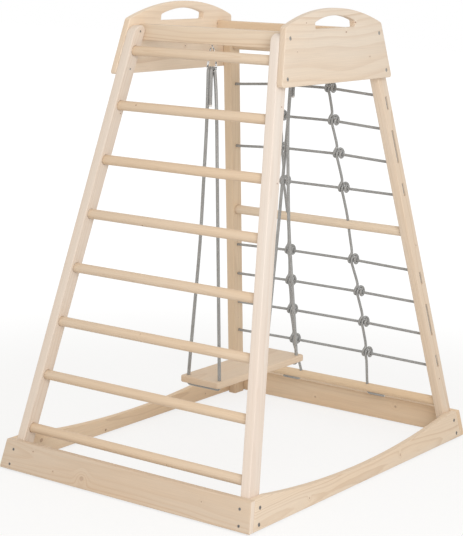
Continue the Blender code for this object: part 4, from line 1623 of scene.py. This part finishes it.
@dataclass
class Swing:
    """Plank seat, ropes, screw eyes and carabiners with their gates.

    Routes are drawn for the front end. Those of the metal are turned half way round for the back
    end, and those of the ropes are mirrored.
    """

    seat_length: float = 0.510
    seat_width: float = 0.158
    seat_thick: float = 0.022
    seat_top: float = 0.3045
    seat_corner: float = 0.014
    seat_edge: float = 0.0045
    hole_x: float = 0.062
    hole_y: float = 0.228
    hole_play: float = 0.0007
    rope_tail: tuple[float, ...] = (1.188, 1.225, 1.262)
    rope_lift: float = 0.00045
    rope_bend: float = 0.0075
    rope_reach: float = 0.075
    rope_above_seat: float = 0.006
    rope_below_bow: float = 0.038
    rope_end: float = 0.022
    rope_soft: float = 0.0015
    rope_tip: float = 0.006
    wire: float = 0.0065
    wire_sides: int = 24
    wire_soft: float = 0.0005
    gate_wire: float = 0.0055
    gate_soft: float = 0.0009
    bow_reach: float = 0.017
    bow_corner: float = 0.0115
    neck_radius: float = 0.0095
    neck_centre: float = 0.0490
    eye_shank: float = 0.022
    eye_play: float = 0.0006
    gate_low: tuple[float, float] = (0.0172, 0.0152)
    gate_high: tuple[float, float] = (0.0148, 0.0400)
    pin_half: float = 0.0034
    pin_radius: float = 0.0012

    @property
    def bow_z(self) -> float:
        """Height of the carabiners' lower bows."""
        above = self.neck_centre + self.neck_radius - self.wire / 2 - SIZES.eye_wire / 2
        return SIZES.swing_axis_z - (above - self.eye_play)

    def turned(self, points: Route, end: End) -> Route:
        """The front end's points, turned half way round Z for the back end."""
        sign = -end.value
        return [Vector((sign * p.x, sign * p.y, p.z)) for p in points]

    def seat(self) -> None:
        """Build the plank."""
        bm = block((self.seat_width, self.seat_length, self.seat_thick), Vector())
        upright = [e for e in bm.edges if abs(e.verts[0].co.z - e.verts[1].co.z) > 0.001]
        bevel(bm, upright, self.seat_corner, 10)
        bevel(bm, rim_edges(bm, 2), self.seat_edge, 5)
        middle = Vector((0, 0, self.seat_top - self.seat_thick / 2))
        bmesh.ops.translate(bm, vec=middle, verts=bm.verts)
        holes = []
        for x in (-self.hole_x, self.hole_x):
            for y in (-self.hole_y, self.hole_y):
                spot = Vector((x, y, middle.z))
                holes.append(rod(spot - Z_AXIS * 0.02, spot + Z_AXIS * 0.02,
                                 SIZES.rope / 2 + self.hole_play, 32))
        lay = Lay(middle, Y_AXIS, X_AXIS)
        knots = [lay.knot_at(Vector((0.068, 0.040, middle.z)), 0.0022),
                 lay.knot_at(Vector((-0.030, -0.120, middle.z)), 0.0018)]
        material = SEAT_PINE.dress("swing_seat", lay, knots, 101)
        add_piece(carve(bm, holes), "swing_seat", material, Body.SWING)

    def rope(self, end: End, material: Material) -> None:
        """Build one rope: a laid-back tail, over the bow, down, under the seat and up.

        Args:
            end: The end of the seat that it carries.
            material: Its finish.
        """
        over = self.wire / 2 + SIZES.rope / 2 + self.rope_lift
        near, far = -SIZES.hook_y - over, -SIZES.hook_y + over
        if end is End.FRONT:
            tail_x, main_x = 0.0050, -0.0066
            down = [(0.0090, far, 1.272), (0.0165, far - 0.0015, 1.200), (0.0420, -0.2275, 0.750)]
            back = [(-0.0240, -0.2330, 0.750), (-0.0076, near, 1.120), (main_x, near, 1.215)]
        else:
            tail_x, main_x = 0.0066, -0.0050
            down = [(0.0085, far, 1.272), (-0.0015, -0.2205, 1.100), (0.0140, -0.2255, 0.750)]
            back = [(-0.0320, -0.2330, 0.750), (-0.0080, near, 1.150), (main_x, near, 1.215)]
        hole, bend, mouth = -self.hole_y, self.rope_bend, self.seat_top + self.rope_above_seat
        bottom = self.seat_top - self.seat_thick
        bows = [arc(Vector((x, -SIZES.hook_y, self.bow_z)), over, 180, 0, Y_AXIS, 8)
                for x in (tail_x, main_x)]
        route = [Vector((tail_x, near, z)) for z in self.rope_tail] + bows[0]
        route += [Vector(p) for p in down] + [Vector((self.hole_x, hole, mouth))]
        route += arc(Vector((self.hole_x - bend, hole, bottom)), bend, 0, -90, X_AXIS, 5)
        route += arc(Vector((-self.hole_x + bend, hole, bottom)), bend, 270, 180, X_AXIS, 5)
        route += [Vector((-self.hole_x, hole, mouth))] + [Vector(p) for p in back]
        route += [Vector((main_x, near, self.bow_z - self.rope_below_bow)), *bows[1],
                  Vector((main_x, far, self.bow_z - self.rope_end))]
        route = [Vector((p.x, -end.value * p.y, p.z)) for p in route]
        bm = sweep(soften(route, self.rope_reach), SIZES.rope / 2, 24, self.rope_soft,
                   self.rope_tip)
        add_piece(bm, f"swing_rope_{tag(end)}", material, Body.SWING, 50)

    def screw_eye(self, end: End, material: Material) -> None:
        """Build a screw eye.

        Args:
            end: The beam's end.
            material: Its finish.
        """
        ring = Vector((0, -SIZES.hook_y, SIZES.swing_axis_z + SIZES.eye_ring))
        neck = ring + Z_AXIS * SIZES.eye_ring
        tip = neck + Z_AXIS * (SIZES.eye_neck + SIZES.eye_wire / 2 + self.eye_shank)
        route = [tip, neck + Z_AXIS * 0.0034, *arc(ring, SIZES.eye_ring, 68, -238, Y_AXIS, 30)]
        bm = sweep(soften(self.turned(route, end), 0.003), SIZES.eye_wire / 2, soft_end=0.0006)
        add_piece(bm, f"swing_eye_{tag(end)}", material, smooth_below=50)

    def carabiner(self, end: End, material: Material) -> None:
        """Build a carabiner and its gate.

        Args:
            end: The end of the seat that it carries.
            material: Its finish.
        """
        foot = Vector((0, -SIZES.hook_y, self.bow_z))
        inner, corner = self.bow_reach - self.bow_corner, self.bow_corner
        low, high = [foot + Vector((x, 0, z)) for x, z in (self.gate_low, self.gate_high)]
        route = [foot + X_AXIS * self.bow_reach + Z_AXIS * (corner + 0.002)]
        route += arc(foot + Vector((inner, 0, corner)), corner, 0, -90, X_AXIS, 10)
        route += arc(foot + Vector((-inner, 0, corner)), corner, 270, 180, X_AXIS, 10)
        route += arc(foot + Z_AXIS * self.neck_centre, self.neck_radius, 170, 0, X_AXIS, 20)
        route.append(high + Vector((-0.0008, 0, 0.0034)))
        route = soften(self.turned(route, end), 0.004)
        bm = sweep(route, self.wire / 2, self.wire_sides, self.wire_soft)
        add_piece(bm, f"carabiner_{tag(end)}", material, Body.SWING, 50)

        along, radius = (high - low).normalized(), self.gate_wire / 2
        route = self.turned([low + along * 0.0004, high + along * radius * 0.9], end)
        bm = sweep(route, radius, self.wire_sides, self.gate_soft)
        pin = self.turned([high - Y_AXIS * self.pin_half, high + Y_AXIS * self.pin_half], end)
        join(bm, rod(pin[0], pin[1], self.pin_radius, 20, 0.0003))
        body = Body.GATE_FRONT if end is End.FRONT else Body.GATE_BACK
        add_piece(bm, f"carabiner_gate_{tag(end)}", material, body, 50)

    def build(self) -> None:
        """Build the swing."""
        self.seat()
        rope = CordFinish(plaits=9).dress("swing_rope", SIZES.rope)
        zinc = ZINC.dress("zinc_steel")
        for end in End:
            self.rope(end, rope)
            self.screw_eye(end, zinc)
            self.carabiner(end, zinc)


# Studio


@dataclass
class Studio:
    """White sweep, soft light and the photograph's camera."""

    azimuth: float = 36.8424
    elevation: float = 11.3383
    roll: float = 1.2205
    place: Triple = (3.0818, -4.5067, 1.7010)
    focal_px: float = 1670.61
    centre_px: tuple[float, float] = (175.60, 274.77)
    image_px: tuple[int, int] = (463, 536)
    sensor: float = 36.0
    far_clip: float = 60.0
    white: tuple[float, ...] = (1, 1, 1, 1)
    floor_grey: tuple[float, ...] = (0.80, 0.80, 0.80, 1)
    floor_glow: float = 1.07
    floor_size: float = 20.0
    surround: tuple[float, ...] = (1.0, 0.965, 0.910, 1)
    surround_strength: float = 0.71
    target: Triple = (0, 0, 0.75)
    lamps: tuple[tuple[str, Triple, float, float], ...] = (
        ("key", (3.3, -2.8, 2.5), 79, 2.0), ("fill", (-1.6, -4.6, 2.0), 8, 2.5))

    def camera(self) -> None:
        """Place the camera."""
        az, el, ro = (math.radians(v) for v in (self.azimuth, self.elevation, self.roll))
        ahead = Vector((-math.sin(az) * math.cos(el), math.cos(az) * math.cos(el), -math.sin(el)))
        right = Vector((math.cos(az), math.sin(az), 0))
        upward = right.cross(ahead)
        level = right * math.cos(ro) + upward * math.sin(ro)
        upright = upward * math.cos(ro) - right * math.sin(ro)
        width, height = self.image_px
        data = bpy.data.cameras.new("camera")
        data.sensor_fit = "VERTICAL"
        data.sensor_height = self.sensor
        data.lens = self.focal_px * self.sensor / height
        data.shift_x = (width / 2 - self.centre_px[0]) / height
        data.shift_y = (self.centre_px[1] - height / 2) / height
        data.clip_end = self.far_clip
        camera = add_object("camera", data)
        camera.matrix_world = Matrix.Translation(self.place) @ Matrix(
            (level, upright, -ahead)).transposed().to_4x4()
        bpy.context.scene.camera = camera

    def seen_directly(self, net: NodeNet) -> Socket:
        """Tell what is seen straight on, in a gloss or through something clear.

        Args:
            net: The node tree that asks.

        Returns:
            1 for such a ray, otherwise 0.
        """
        rays = net.node("LightPath", {}).outputs
        seen = net.math("MAXIMUM", rays["Is Camera Ray"], rays["Is Glossy Ray"])
        return net.math("MAXIMUM", seen, rays["Is Transmission Ray"])

    def floor(self) -> None:
        """Lay a pale floor that keeps a faint shadow."""
        bm = bmesh.new()
        bmesh.ops.create_grid(bm, x_segments=1, y_segments=1, size=self.floor_size)
        mesh = to_mesh(bm, "floor")
        net = NodeNet(bpy.data.materials.new("floor"))
        net.tree.nodes.remove(net.tree.nodes["Principled BSDF"])
        paint = net.node("BsdfDiffuse", {"Color": self.floor_grey})
        glow = net.node("Emission", {"Color": self.white, "Strength": self.floor_glow})
        away = net.vector("LENGTH", net.coordinates("Object"))
        whiter = net.span(away, 1.1, 3.2, 0.70, 1.0)
        part = net.math("MULTIPLY", self.seen_directly(net), whiter)
        net.blend(part, paint, glow, "Material Output")
        mesh.materials.append(net.owner)
        floor = add_object("floor", mesh)

    def light(self) -> None:
        """Light the object softly from the right, with an even surround."""
        net = NodeNet(bpy.data.worlds.new("surround"))
        bpy.context.scene.world = net.owner
        backdrop = net.tree.nodes["Background"]
        net.feed(backdrop, {"Color": self.surround, "Strength": self.surround_strength})
        white = net.node("Background", {"Color": self.white, "Strength": 1.0})
        net.blend(self.seen_directly(net), backdrop, white, "World Output")
        for name, place, energy, size in self.lamps:
            lamp = bpy.data.lights.new(name, "AREA")
            lamp.energy = energy
            lamp.size = size
            holder = add_object(name, lamp)
            aim = Vector(place) - Vector(self.target)
            holder.rotation_euler = aim.to_track_quat("Z", "Y").to_euler()
            holder.location = place

    def build(self) -> None:
        """Set up the studio."""
        bpy.context.scene.view_settings.view_transform = "Standard"
        self.camera()
        self.floor()
        self.light()


def main() -> None:
    """Build the tower's looks in order."""
    logging.basicConfig(level=logging.INFO, format="%(name)s: %(message)s")
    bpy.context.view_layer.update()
    Studio().build()
    cutters: Cutters = defaultdict(list)
    ladder = Ladder()
    net = Net()
    Fasteners().build(cutters)
    ladder.cut(cutters)
    net.cut(cutters)
    Frame().build(cutters)
    ladder.build()
    net.build()
    Swing().build()


if __name__ == "__main__":
    main()
